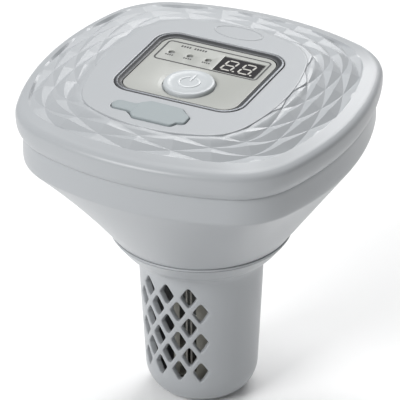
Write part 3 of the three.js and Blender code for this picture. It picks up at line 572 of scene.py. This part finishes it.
def facet_depth(u, v):
    """Depth at column u and row v of the ring of low four-sided pyramids, whose peaks touch the dome."""
    a, b = u + v, u - v
    across, along = a % 2 - 1, b % 2 - 1
    row = ((a - across) - (b - along)) / 2
    share = np.maximum(abs(across), abs(along))
    return np.where((row > -0.5) & (row < FACET_ROWS - 0.5), share, 0.0) * FACET_DEPTH


def add_facets(skin, outline, reach):
    """The ring of facets; each grid square is split along the ridge's own direction."""
    steps = FACET_STEPS
    columns = np.arange(FACET_COLUMNS * steps)
    rows = np.arange(FACET_ROWS * steps + FACET_SPARE_STEPS)
    covered = plateau_outline(-1.3)  # points well inside the plateau's edge are sunk below it
    rings = []
    for row in rows:
        flat = facet_row(outline, row / steps)
        points = on_dome(flat, outline, reach)
        shallow = np.clip((fraction_of(flat, outline) - reach) / FACET_TAPER[0], FACET_TAPER[1], 1.0)
        points[:, 2] -= shallow * facet_depth(columns / steps, row / steps)
        points[within(points[:, :2], covered), 2] = TOP_Z - 3.0
        rings.append(skin.ring(points))
    for row, low, high in zip(rows, rings, rings[1:]):
        for i in columns:
            j = (i + 1) % len(columns)
            u, v = (i + 0.5) / steps, (row + 0.5) / steps
            across, along = (u + v) % 2 - 1, (u - v) % 2 - 1
            if (across + along) * (across - along) > 0:
                skin.face(low[i], low[j], high[i])
                skin.face(low[j], high[j], high[i])
            else:
                skin.face(low[i], low[j], high[j])
                skin.face(low[i], high[j], high[i])
    return rings[0]


def plateau_outline(grow):
    half_x, half_y, centre = PLATEAU
    unit = unit_outline(144)
    return np.column_stack([unit[:, 0] * (half_x + grow), centre + unit[:, 1] * (half_y + grow)])


def panel_recess(grow):
    return rounded_rect(*RECESS, grow)


FLAP_CORNERS = [  # plan of the strap and the pad: X, Y and corner radius
    (-25.5, -53.2, 3.2),
    (-15.4, -53.2, 1.4),
    (-12.6, -55.4, 1.5),
    (-9.4, -58.4, 2.2),
    (11.6, -58.4, 2.2),
    (13.4, -54.6, 1.4),
    (17.2, -53.4, 1.8),
    (17.0, -46.6, 2.4),
    (13.2, -43.6, 1.8),
    (9.8, -40.0, 2.4),
    (-7.8, -39.6, 2.6),
    (-12.6, -43.4, 1.8),
    (-15.4, -45.2, 1.4),
    (-25.5, -45.2, 3.2),
]


def pocket_outline(grow):
    return grown(rounded_polygon(FLAP_CORNERS), POCKET_GAP + grow)


def emblem_outline(grow):
    half_x, half_y, centre = EMBLEM
    return circle(72, 1.0) * (half_x + grow, half_y + grow) + (0.0, centre)


def add_bead(skin, outline, half_width, height, base):
    """A low rounded bead that follows an outline and stands a little into the surface below."""
    sink = 0.1
    rings = []
    for k in range(7):
        angle = math.pi * k / 6
        z = base - sink + (height + sink) * math.sin(angle)
        rings.append(at_height(outline(-half_width * math.cos(angle)), z))
    skin.chain(rings)


def build_lid(finish):
    """The lid: wall, rounded edge, facets, plateau with its recess and pocket, and the blank emblem."""
    skin = Skin()
    outline = unit_outline(FACET_COLUMNS * FACET_STEPS)
    reach = plateau_reach(outline)
    wall = [(80.4, 167.0), (80.4, 163.7), (80.7, LID_RIM_Z), (84.95, LID_RIM_Z)]
    skirt = [(85.35, 163.75), (86.2, 165.0), (87.2, 167.0), (87.8, 169.5), (88.0, 172.0), (88.0, 174.2)]
    crest = [(88.0, 174.2), (87.9, 175.2), (87.6, 176.1), (87.05, 176.9), (86.2, 177.6), (84.9, 178.34)]
    side = [*wall, *smooth_path(skirt, 4), *smooth_path(crest, 4)[1:]]
    rings = [at_height(outline * w, z) for w, z in side]
    for share in np.linspace(0.0, 1.0, 6)[1:]:
        flat = (1 - share) * HALF_WIDTH * CREST * outline + share * facet_row(outline, FACET_EDGE_ROW)
        rings.append(on_dome(flat, outline, reach))
    edge = skin.chain(rings)[-1]
    first = len(skin.faces)
    skin.bridge(edge, add_facets(skin, outline, reach))
    skin.crisp.update(range(first, len(skin.faces)))

    holes = [(panel_recess, 0.5), (pocket_outline, 0.3)]
    slab(skin, plateau_outline, PLATEAU_LOW_Z, TOP_Z, 0.5, holes, bottom=False)
    recess_floor = skin.ring(at_height(panel_recess(0.0), RECESS_FLOOR_Z))
    opening = skin.ring(at_height(rounded_rect(*RECESS_OPENING), RECESS_FLOOR_Z))
    skin.fill(recess_floor, [opening])
    pocket_floor = skin.ring(at_height(pocket_outline(0.0), POCKET_FLOOR_Z))
    socket = skin.ring(at_height(circle(48, SOCKET_R, SOCKET), POCKET_FLOOR_Z))
    skin.fill(pocket_floor, [socket])
    socket_low = skin.ring(at_height(circle(48, SOCKET_R, SOCKET), SOCKET_LOW_Z))
    skin.bridge(socket_low, socket)
    add_bead(skin, emblem_outline, 0.55, 0.32, TOP_Z)
    piece = skin.build("lid_shell", [finish["housing_plastic"]])
    finish_piece(piece, "housing", "housing_plastic", "top_cover")


# ------------------------------------------------------------------ control panel
TRIM = [  # inset from the recess wall, height, and finish (0 bright, 1 dark) of the band up to it; the dark bands are painted shade in the gap round the lip and a painted dark reflection on the inner slope
    (0.0, 184.0, 1),
    (0.0, 186.45, 1),
    (0.2, 186.62, 1),
    (0.45, 186.7, 1),
    (0.65, 186.82, 0),
    (1.05, 186.93, 0),
    (1.5, 186.9, 0),
    (1.75, 186.78, 1),
    (2.1, 186.5, 1),
    (2.8, 186.0, 1),
    (3.1, 185.85, 1),
    (3.5, 185.8, 1),
    (3.86, 185.74, 1),
    (3.9, 185.6, 1),
    (3.9, 184.0, 1),
]


def build_panel_frame(finish):
    """A trim ring: dark outer lip, bright bead, dark inner slope down to the plate. The dark lip is
    painted shade in the gap, and the dark slope is a painted dark reflection.
    """
    skin = Skin()
    loops = [rounded_rect(*PANEL_TRIM, -inset, 14) for inset, _, _ in TRIM]
    rings = [skin.ring(at_height(loop, z)) for loop, (_, z, _) in zip(loops, TRIM)]
    for (_, _, slot), low, high in zip(TRIM[1:], rings, rings[1:]):
        skin.slot = slot
        skin.bridge(low, high)
    skin.slot = 1
    skin.bridge(rings[-1], rings[0])
    piece = skin.build("panel_trim", [finish["trim_chrome"], finish["trim_dark"]], sharp=50.0)
    finish_piece(piece, "housing", "trim_chrome", "panel_frame")


def build_panel_plate(finish):
    """The face plate, with a dish round the button, a window and three light holes."""
    skin = Skin()

    def outline(grow):
        return rounded_rect(*PANEL_FACE, grow)

    def window(grow):
        x, y, width, height = DISPLAY
        half_x, half_y = width / 2 + 0.3, height / 2 + 0.3
        return rounded_rect(x - half_x, x + half_x, y - half_y, y + half_y, 0.4, grow, 3)

    def light_hole(x):
        return lambda grow: circle(24, LIGHT_R + 0.25 + grow, (x, LIGHT_Y))

    low = PLATE_Z - PLATE_THICKNESS
    dish = [(16.2, PLATE_Z), (15.95, PLATE_Z - 0.06), (14.8, PLATE_Z - 0.5), (14.1, PLATE_Z - 0.65)]
    dish.append((14.1, low))
    top = skin.ring(at_height(outline(-0.5), PLATE_Z))
    rim = [top] + [skin.ring(at_height(outline(-i), PLATE_Z - d)) for i, d in edge_round(0.3)]
    rim.append(skin.ring(at_height(outline(0.0), low)))
    for upper, lower in zip(rim, rim[1:]):
        skin.bridge(lower, upper)
    dish_rings = [skin.ring(at_height(circle(96, r, BUTTON), z)) for r, z in dish]
    for upper, lower in zip(dish_rings, dish_rings[1:]):
        skin.bridge(upper, lower)
    tops, lows = [dish_rings[0]], [dish_rings[-1]]
    for hole, edge in [(window, 0.12), *((light_hole(x), 0.15) for x in LIGHTS)]:
        first = skin.ring(at_height(hole(edge), PLATE_Z))
        down = [first] + [skin.ring(at_height(hole(i), PLATE_Z - d)) for i, d in edge_round(edge, 3)]
        down.append(skin.ring(at_height(hole(0.0), low)))
        for upper, lower in zip(down, down[1:]):
            skin.bridge(upper, lower)
        tops.append(first)
        lows.append(down[-1])
    skin.fill(top, tops)
    skin.fill(rim[-1], lows)
    piece = skin.build("panel_face", [finish["face_plate"]])
    finish_piece(piece, "housing", "face_plate", "panel_plate")


def stroke(skin, outer, inner, z):
    """A closed printed line between two outlines of equal count."""
    low, high = z - PRINT_SINK, z + PRINT_RISE
    path = [(outer, low), (outer, high), (inner, high), (inner, low)]
    skin.chain([at_height(outline, level) for outline, level in path])


def raised_patch(skin, outline, z, rise):
    """A thin flat-topped patch on the surface at z."""
    rings = skin.chain([at_height(outline, z - PRINT_SINK), at_height(outline, z + rise)])
    skin.fill(rings[-1])


def printed_block(skin, x0, x1, y0, y1):
    corner = min(x1 - x0, y1 - y0) * 0.3
    raised_patch(skin, rounded_rect(x0, x1, y0, y1, corner, 0.0, 3), PLATE_Z, PRINT_RISE)


def build_panel_print(finish):
    """The thin outline round the lights and the display, and rows of plain blocks for captions."""
    skin = Skin()
    outer, inner = (rounded_rect(*PANEL_LINE, -inset, 8) for inset in (0.0, PANEL_LINE_WIDTH))
    stroke(skin, outer, inner, PLATE_Z)
    for x in LIGHTS:
        for k in range(4):
            printed_block(skin, x - 2.3 + 1.2 * k, x - 1.5 + 1.2 * k, 10.4, 11.6)
    for k in (0, 1, 2, 3, 5, 6, 7, 8, 9):  # a heading of two parts, four blocks and five
        printed_block(skin, -21.4 + 1.5 * k, -20.4 + 1.5 * k, 21.1, 22.8)
    piece = skin.build("panel_print", [finish["print_dark"]])
    finish_piece(piece, "housing", "face_plate")


SEGMENTS = [  # start and end of each bar of a digit, in half widths and half heights
    ((-1, 1), (1, 1)),
    ((-1, 0), (1, 0)),
    ((-1, -1), (1, -1)),
    ((-1, 0), (-1, 1)),
    ((1, 0), (1, 1)),
    ((-1, -1), (-1, 0)),
    ((1, -1), (1, 0)),
]


def digit_bar(start, end, centre_x, centre_y):
    """Outline of one bar of a slanted digit, pointed at both ends."""

    def corner(across, up):
        x = centre_x + across * DIGIT_HALF_WIDTH + DIGIT_SLANT * up * DIGIT_HALF_HEIGHT
        return np.array([x, centre_y + up * DIGIT_HALF_HEIGHT])

    a, b = corner(*start), corner(*end)
    along = (b - a) / np.linalg.norm(b - a)
    a, b = a + along * BAR_GAP, b - along * BAR_GAP
    point = along * BAR_HALF_WIDTH
    side = np.array([-along[1], along[0]]) * BAR_HALF_WIDTH
    return np.array([a, a + point - side, b - point - side, b, b - point + side, a + point + side])


def build_display(finish):
    """A dark glass with two pale digits, each with its dot."""
    x, y, width, height = DISPLAY
    skin = Skin()
    high = PLATE_Z - 0.25

    def outline(grow):
        return rounded_rect(x - width / 2, x + width / 2, y - height / 2, y + height / 2, 0.4, grow, 3)

    slab(skin, outline, 182.0, high, 0.15)
    piece = skin.build("display_glass", [finish["display_window"]])
    finish_piece(piece, "housing", "display_window", "display_module")

    digits = Skin()
    for centre in (x - 5.5, x + 4.4):
        for start, end in SEGMENTS:
            raised_patch(digits, digit_bar(start, end, centre, y), high, DIGIT_RISE)
        dot = circle(16, 0.62, (centre + 4.1, y - DIGIT_HALF_HEIGHT))
        raised_patch(digits, dot, high, DIGIT_RISE)
    piece = digits.build("display_digits", [finish["segment"]])
    finish_piece(piece, "housing", "display_window")


def build_lights(finish):
    """Three light pipes with domed ends, sunk in the plate."""
    for name, x in zip(("light_low", "light_good", "light_high"), LIGHTS):
        skin = Skin()
        low = PLATE_Z - LIGHT_SINK
        profile = [(0.0, LIGHT_LOW_Z), (LIGHT_R, LIGHT_LOW_Z), (LIGHT_R, low)]
        for angle in np.linspace(0.2, 1.4, 6):
            profile.append((LIGHT_R * math.cos(angle), low + LIGHT_DOME * math.sin(angle)))
        profile.append((0.0, low + LIGHT_DOME))
        turned(skin, profile, 32, (x, LIGHT_Y))
        piece = skin.build(f"{name}_pipe", [finish["light_pipe"]])
        finish_piece(piece, "housing", "light_pipe", name)


def button_height(r):
    """Height of the button's top at a radius: shallowly dished inside a soft rim."""
    rim = 0.42 * math.exp(-(((r - 11.6) / 1.5) ** 2))
    return BUTTON_TOP_Z - 0.42 + rim + 0.12 * math.exp(-((r / 4.0) ** 2))


def build_button(finish):
    """The button, with its flange and stem, and the raised mark on top."""
    skin = Skin()
    profile = [(0.0, button_height(0.0))]
    flat_r = BUTTON_R - BUTTON_ROUND
    profile += [(r, button_height(r)) for r in np.linspace(0.8, flat_r, 22)]
    for k in range(1, 8):
        angle = math.pi / 2 * k / 7
        r = BUTTON_R - BUTTON_ROUND * (1 - math.sin(angle))
        profile.append((r, button_height(flat_r) - (1 - math.cos(angle))))
    profile += [(BUTTON_R, 183.8), (15.6, 183.8), (15.6, 182.5), (3.0, 182.5), (3.0, 177.4), (0.0, 177.4)]
    turned(skin, profile, 96, BUTTON)
    piece = skin.build("power_cap", [finish["button_plastic"]])
    finish_piece(piece, "button", "button_plastic", "power_button")

    mark = Skin()
    gap = math.radians(26)
    arc = [math.pi / 2 + gap + (2 * math.pi - 2 * gap) * k / 60 for k in range(61)]
    add_ribbon(mark, [(MARK_R * math.cos(a), MARK_R * math.sin(a)) for a in arc])
    add_ribbon(mark, [(0.0, 1.6 + 0.62 * k) for k in range(11)])
    # the mark's lighter finish is a painted highlight on the raised stroke
    piece = mark.build("power_mark", [finish["button_mark"]])
    finish_piece(piece, "button", "button_plastic")


def add_ribbon(skin, path):
    """A raised rounded stroke on the button's top along an open path, with round ends."""
    points = np.array(path)
    ahead = np.gradient(points, axis=0)
    ahead /= np.linalg.norm(ahead, axis=1)[:, None]
    side = np.column_stack([-ahead[:, 1], ahead[:, 0]])

    def outline(half):
        turns = [math.pi * k / 6 for k in range(1, 6)]
        right = points - side * half
        left = (points + side * half)[::-1]
        far = [points[-1] + half * (ahead[-1] * math.sin(t) - side[-1] * math.cos(t)) for t in turns]
        near = [points[0] + half * (side[0] * math.cos(t) - ahead[0] * math.sin(t)) for t in turns]
        return np.array([*right, *far, *left, *near])

    rings = []
    for inset, rise in ((0.0, -0.1), (0.0, 0.2), (0.1, 0.36), (0.28, 0.44)):
        flat = outline(MARK_HALF_WIDTH - inset)
        heights = [button_height(float(np.hypot(*q))) + rise for q in flat]
        rings.append(skin.ring(np.column_stack([flat + np.array(BUTTON), heights])))
    for low, high in zip(rings, rings[1:]):
        skin.bridge(low, high)
    skin.fill(rings[-1])


# ------------------------------------------------------------------ charging flap
PAD_LEFT = -14.5  # the outline's corners right of this belong to the pad


def build_flap(finish):
    """The flap's pad and the plug under it."""
    skin = Skin()
    corners = [corner for corner in FLAP_CORNERS if corner[0] > PAD_LEFT]

    def outline(grow):
        return grown(rounded_polygon(corners), grow)

    slab(skin, outline, FLAP_LOW_Z, 187.7, 0.7)
    turned(skin, [(0.0, 183.3), (3.3, 183.3), (3.6, 183.6), (3.6, 185.9)], 40, SOCKET)
    piece = skin.build("flap_pad", [finish["flap_rubber"]], sharp=40.0)
    finish_piece(piece, "flap", "flap_rubber", "charge_flap")


def build_strap(finish):
    """The flap's strap, from its root in the lid along its neck to the pad."""
    skin = Skin()
    root, rounded, pad = STRAP_X
    stations = [*np.linspace(root, rounded, 9), *np.linspace(rounded + 0.5, pad, 38)]
    rings = []
    for x in stations:
        tip = max(0.0, (rounded - x) / (rounded - root))
        half = 4.0 * math.sqrt(max(0.0, 1 - tip**2)) + 0.05
        half += 1.0 * float(np.clip((x + 15.6) / 2.6, 0, 1)) ** 2
        high = 187.5 - 0.35 * tip**2
        edge = min(0.45, half * 0.8)
        section = [(-half, FLAP_LOW_Z), (-half, high - edge)]
        section += [(-half + edge * 0.3, high - edge * 0.3), (-half + edge, high)]
        section += [(-y, z) for y, z in reversed(section)]
        rings.append([(x, STRAP_Y + y, z) for y, z in section])
    indexed = skin.chain(rings)
    skin.cap(indexed[0])
    skin.cap(indexed[-1])
    piece = skin.build("flap_strap", [finish["flap_rubber"]], sharp=45.0)
    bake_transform(piece)
    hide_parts("flap_anchor")


# ------------------------------------------------------------------ hull
LUG_SPAN_DEG = 36
LUG_CLIMB = 2.4
HULL_WALL = 3.3


def funnel(z):
    """Half width and roundness of the funnel at a height."""
    slope = (FUNNEL_TOP_W - HULL_BASE_R) / (FUNNEL_TOP_Z - HULL_BASE_Z)
    down = min(1.0, max(0.0, (FUNNEL_TOP_Z - z) / (FUNNEL_TOP_Z - HULL_BASE_Z)))
    return HULL_BASE_R + slope * (z - HULL_BASE_Z), 1 - (1 - down) ** 1.6


def add_lug(skin, centre_deg, inner, outer, low, height):
    """One helical lug of the cage's quick-release thread."""
    rings = []
    for along in np.linspace(0.0, 1.0, 13):
        angle = math.radians(centre_deg + LUG_SPAN_DEG * (along - 0.5))
        z = low + LUG_CLIMB * along
        section = [(inner, 0.0), (outer - 0.3, 0.0), (outer, 0.3)]
        section += [(outer, height - 0.3), (outer - 0.3, height), (inner, height)]
        rings.append([(r * math.cos(angle), r * math.sin(angle), z + dz) for r, dz in section])
    indexed = skin.chain(rings)
    skin.cap(indexed[0])
    skin.cap(indexed[-1])


def build_hull(finish):
    """The hollow hull in one closed loop of rings: neck, funnel, rim, and back down the inside."""
    skin = Skin()
    unit = unit_outline(192)
    length = np.linalg.norm(unit, axis=1)

    def ring(w, z, roundness):
        return at_height(unit * (w * (1 - roundness + roundness / length))[:, None], z)

    neck = [(24.0, 98.6), (24.0, 95.6), (33.6, 95.6), (33.6, 88.0), (34.0, 87.5), (37.0, 87.5)]
    neck += [(37.4, 87.9), (37.4, 95.3), (37.7, 95.6), (46.3, 95.6), (46.8, 95.8)]
    rings = [ring(r, z, 1.0) for r, z in neck]
    for z in [96.2, 97.5, *np.linspace(100, 146.6, 26)]:
        w, roundness = funnel(z)
        rings.append(ring(w, z, roundness))
    bend = [(83.66, 146.6), (84.35, 147.8), (84.7, 149.2), (84.86, 151.0), (84.9, 153.0)]
    rings += [ring(w, z, funnel(z)[1]) for w, z in smooth_path(bend, 4)[1:]]
    rim = [(84.8, 157.0), (84.65, 161.0), (84.6, 162.7), (84.4, HULL_RIM_Z)]
    rim += [(79.8, HULL_RIM_Z), (79.6, 160.6), (82.0, 158.0), (82.0, 151.0)]
    rings += [ring(w, z, 0.0) for w, z in rim]
    for z in np.linspace(147.0, 98.6, 14):
        w, roundness = funnel(z)
        rings.append(ring(w - HULL_WALL, z, roundness))
    skin.chain(rings, closed=True)
    for k in range(3):
        add_lug(skin, 120 * k, 36.9, 39.9, 88.2, 1.6)
    piece = skin.build("hull_shell", [finish["housing_plastic"]])
    finish_piece(piece, "housing", "housing_plastic", "hull")


# ------------------------------------------------------------------ cage
CAGE_COLUMNS = 128
CAGE_WALL = 3.4
CAGE_MEAN_R = 31.0
WALL_LOW_Z = 15.84
WALL_LOW_R = 29.75
WALL_HIGH_Z = 77.5
FLOOR_Z = 3.2
DRAIN_PLACE_R = 11
FLARE_POINTS = [
    (32.3, 64.0), (32.64, 71.4), (32.85, 75.0), (33.3, 77.9), (34.7, 80.9), (37.4, 83.1),
    (40.6, 85.7), (42.7, 88.1), (44.6, 90.6), (46.2, 92.6), (46.95, 93.6),
]
FLARE = smooth_path(FLARE_POINTS, 8)


def cage_outer(z):
    flare_r, flare_z = FLARE[0]
    if z < flare_z:
        return WALL_LOW_R + (z - WALL_LOW_Z) * (flare_r - WALL_LOW_R) / (flare_z - WALL_LOW_Z)
    return float(np.interp(z, FLARE[:, 1], FLARE[:, 0]))


def cage_inner(z):
    return cage_outer(z) - CAGE_WALL


def hole_outline(grow):
    """A diamond with rounded corners."""
    half_w, half_h = HOLE_HALF_WIDTH + grow * 1.3, HOLE_HALF_HEIGHT + grow * 1.3
    return rounded_polygon([(half_w, 0, 1.9), (0, half_h, 1.6), (-half_w, 0, 1.9), (0, -half_h, 1.6)], 4)


def hole_centres():
    """Azimuth in degrees from the front towards +X, and height, of every hole."""
    for face in (0, 180):
        for column in range(HOLE_COLUMNS):
            azimuth = face + HOLE_CENTRE + HOLE_STEP * (column - (HOLE_COLUMNS - 1) / 2)
            low = HOLE_LOW_Z + (HOLE_PITCH / 2 if column % 2 else 0)
            for row in range(HOLE_ROWS):
                yield azimuth, low + HOLE_PITCH * row


def add_cage_wall(skin):
    """The perforated band: outer and inner sheets with the same holes, joined by rounded hole edges."""
    width = 2 * math.pi * CAGE_MEAN_R
    seam = -width / 4 - 8  # clear of both groups of holes

    def unrolled(azimuth):
        return (math.radians(azimuth) * CAGE_MEAN_R - seam) % width + seam

    def lift(s, z, radius):
        angle = s / CAGE_MEAN_R - math.pi / 2
        return (radius * math.cos(angle), radius * math.sin(angle), z)

    border_s = [seam + width * k / CAGE_COLUMNS for k in range(CAGE_COLUMNS + 1)]
    heights = np.linspace(WALL_LOW_Z, WALL_HIGH_Z, 29)
    loop = [(s, WALL_LOW_Z) for s in border_s] + [(border_s[-1], z) for z in heights[1:]]
    loop += [(s, WALL_HIGH_Z) for s in reversed(border_s[:-1])]
    loop += [(border_s[0], z) for z in heights[-2:0:-1]]
    holes = [(unrolled(azimuth), z) for azimuth, z in hole_centres()]

    def clear_of_holes(s, z):
        return all(abs(s - hole_s) / 6.1 + abs(z - hole_z) / 8.2 > 1.0 for hole_s, hole_z in holes)

    clear = [(s, z) for s in border_s[1:-1] for z in heights[1:-1] if clear_of_holes(s, z)]
    sheets = []
    for radius, edge in ((cage_outer, 0.5), (cage_inner, 0.35)):
        outline = skin.ring([lift(s, z, radius(z)) for s, z in loop])
        flat = dict(zip(outline, loop))
        hole_loops = []
        for cs, cz in holes:
            points = hole_outline(edge) + np.array([cs, cz])
            ring = skin.ring([lift(s, z, radius(z)) for s, z in points])
            flat.update(zip(ring, map(tuple, points)))
            hole_loops.append(ring)
        skin.fill(outline, hole_loops, flat, lambda s, z, r=radius: lift(s, z, r(z)), clear)
        sheets.append(hole_loops)
    for (cs, cz), outer, inner in zip(holes, *sheets):
        rings = [outer]
        for grow, depth in ((0.32, 0.07), (0.14, 0.25), (0.03, 0.5), (0.0, 0.85), (0.0, 3.1), (0.05, 3.3)):
            points = hole_outline(grow) + np.array([cs, cz])
            rings.append(skin.ring([lift(s, z, cage_outer(z) - depth) for s, z in points]))
        rings.append(inner)
        for a, b in zip(rings, rings[1:]):
            skin.bridge(a, b)
    return seam / CAGE_MEAN_R - math.pi / 2


def build_cage(finish):
    """The cage: perforated wall, closed foot and flared collar with its lugs."""
    skin = Skin()
    start = add_cage_wall(skin)

    def ring(r, z):
        return at_height(circle(CAGE_COLUMNS, r, start=start), z)

    steps = [math.pi / 2 * k / 12 for k in range(13)]
    outside = [(16.9, 0.0)]
    outside += [(17.4 + 12.35 * math.sin(a), WALL_LOW_Z * (1 - math.cos(a))) for a in steps]
    inside = [(16.4 + 9.95 * math.sin(a), WALL_LOW_Z - 12.64 * math.cos(a)) for a in steps[::-1]]
    add_foot(skin, [ring(r, z) for r, z in outside], [ring(r, z) for r, z in inside])

    upper = [ring(r, z) for r, z in FLARE if z > WALL_HIGH_Z + 0.1]
    lip = [(47.15, 93.9), (47.1, 94.2), (46.8, 94.3), (40.7, 94.3), (40.5, 94.1)]
    lip += [(40.5, 88.6), (38.2, 86.6), (34.9, 83.8), (31.9, 80.6), (30.6, 78.6)]
    upper += [ring(r, z) for r, z in lip]
    top_outer = ring(cage_outer(WALL_HIGH_Z), WALL_HIGH_Z)
    top_inner = ring(cage_inner(WALL_HIGH_Z), WALL_HIGH_Z)
    skin.chain([top_outer, *upper, top_inner])
    for k in range(3):
        add_lug(skin, 120 * k, 41.0, 38.0, 90.1, 1.5)
    piece = skin.build("cage_shell", [finish["housing_plastic"]])
    finish_piece(piece, "cage_body", "housing_plastic", "cage")


def add_foot(skin, outside, inside):
    """The closed bottom with its four drain holes, between rings going up and rings coming down."""
    outer, inner = skin.chain(outside), skin.chain(inside)
    below, above = [], []
    for k in range(4):
        angle = math.pi / 4 + math.pi / 2 * k
        centre = (DRAIN_PLACE_R * math.cos(angle), DRAIN_PLACE_R * math.sin(angle))
        profile = ((2.4, 0.0), (2.1, 0.1), (2.0, 0.35), (2.0, FLOOR_Z))
        rings = skin.chain([at_height(circle(24, r, centre), z) for r, z in profile])
        below.append(rings[0])
        above.append(rings[-1])
    skin.fill(outer[0], below)
    skin.fill(inner[-1], above)


def build_neck_ring(finish):
    """The thin band between hull and cage, with a rounded lip."""
    skin = Skin()
    outside = [(47.2, 94.62), (47.6, 94.75), (47.85, 95.0), (47.9, 95.5), (47.8, 95.75), (47.55, 95.92)]
    inside = [(47.3, 95.95), (47.12, 95.88), (46.9, 95.7), (46.8, 95.48)]
    profile = [(41.6, 94.62), *outside, *inside, (41.6, 95.48)]
    turned(skin, profile, 160, closed=True)
    piece = skin.build("neck_band", [finish["housing_plastic"]], sharp=60.0)
    finish_piece(piece, "neck_ring_body", "housing_plastic", "neck_ring")


# ------------------------------------------------------------------ inner parts
def dress_cad_nodes(frame, finish):
    """Every CAD node that is still shown gets the finish of its own slot and softened edges."""
    slots = {row["node"]: row["material_slot"] for row in frame["record"]["subparts"]}
    for name, node in frame["nodes"].items():
        node.data.materials.clear()
        node.data.materials.append(finish[slots[name]])
        if node.hide_render:
            continue
        softened = node.modifiers.new("soft_edges", "BEVEL")
        softened.width = 0.00015
        softened.segments = 2
        softened.limit_method = "ANGLE"
        softened.angle_limit = math.radians(40)


# ------------------------------------------------------------------ studio
LIGHT_AIM = (0.0, 0.0, 0.12)  # metres
LIGHT_SIZE = 0.9  # metres
STUDIO_LIGHTS = [  # name, place in metres and power in watts
    ("key", (-0.67, -1.5, 1.27), 25.5),
    ("back", (-0.11, 1.63, 1.27), 16.5),
    ("top", (-0.47, 0.81, 1.89), 21.0),
]


def add_area(name, place, power):
    """A square soft light, turned to face the object."""
    data = bpy.data.lights.new(name, "AREA")
    data.shape = "RECTANGLE"
    data.size = data.size_y = LIGHT_SIZE
    data.energy = power
    light = bpy.data.objects.new(name, data)
    light.location = place
    light.rotation_mode = "QUATERNION"
    light.rotation_quaternion = (Vector(LIGHT_AIM) - Vector(place)).to_track_quat("-Z", "Y")
    bpy.context.scene.collection.objects.link(light)


def build_studio(finish):
    mesh = bpy.data.meshes.new("floor")
    mesh.from_pydata([(-6, -6, 0), (6, -6, 0), (6, 6, 0), (-6, 6, 0)], [], [(0, 1, 2, 3)])
    mesh.materials.append(finish["floor"])
    floor = bpy.data.objects.new("floor", mesh)
    bpy.context.scene.collection.objects.link(floor)
    world = bpy.data.worlds.new("studio")
    world.use_nodes = True
    background = world.node_tree.nodes["Background"]
    background.inputs["Color"].default_value = (1.0, 1.0, 1.0, 1.0)
    background.inputs["Strength"].default_value = 0.30
    bpy.context.scene.world = world
    bpy.context.scene.view_settings.view_transform = "Standard"
    for name, place, power in STUDIO_LIGHTS:
        add_area(name, place, power)


def build_camera():
    azimuth, elevation, roll = (math.radians(v) for v in (CAMERA_AZIMUTH, CAMERA_ELEVATION, CAMERA_ROLL))
    level = math.cos(elevation)
    back = Vector((math.sin(azimuth) * level, -math.cos(azimuth) * level, math.sin(elevation)))
    right = Vector((math.cos(azimuth), math.sin(azimuth), 0.0))
    up = back.cross(right)
    aim = Vector((0.0, 0.0, TOP_Z * MM)) + right * CAMERA_AIM[0] + up * CAMERA_AIM[1]
    turned_right = right * math.cos(roll) + up * math.sin(roll)
    turned_up = back.cross(turned_right)
    camera = bpy.data.objects.new("camera", bpy.data.cameras.new("camera"))
    camera.data.lens = CAMERA_LENS
    camera.data.sensor_width = 36.0
    camera.data.clip_end = 50.0
    basis = Matrix((turned_right, turned_up, back)).transposed().to_4x4()
    camera.matrix_world = Matrix.Translation(aim + back * CAMERA_DISTANCE) @ basis
    bpy.context.scene.collection.objects.link(camera)
    bpy.context.scene.camera = camera


for item in list(bpy.data.objects):
    bpy.data.objects.remove(item)
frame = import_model()
materials = make_materials()
for build in (
    build_lid,
    build_panel_frame,
    build_panel_plate,
    build_panel_print,
    build_display,
    build_lights,
    build_button,
    build_flap,
    build_strap,
    build_hull,
    build_cage,
    build_neck_ring,
):
    build(materials)
dress_cad_nodes(frame, materials)
build_studio(materials)
build_camera()
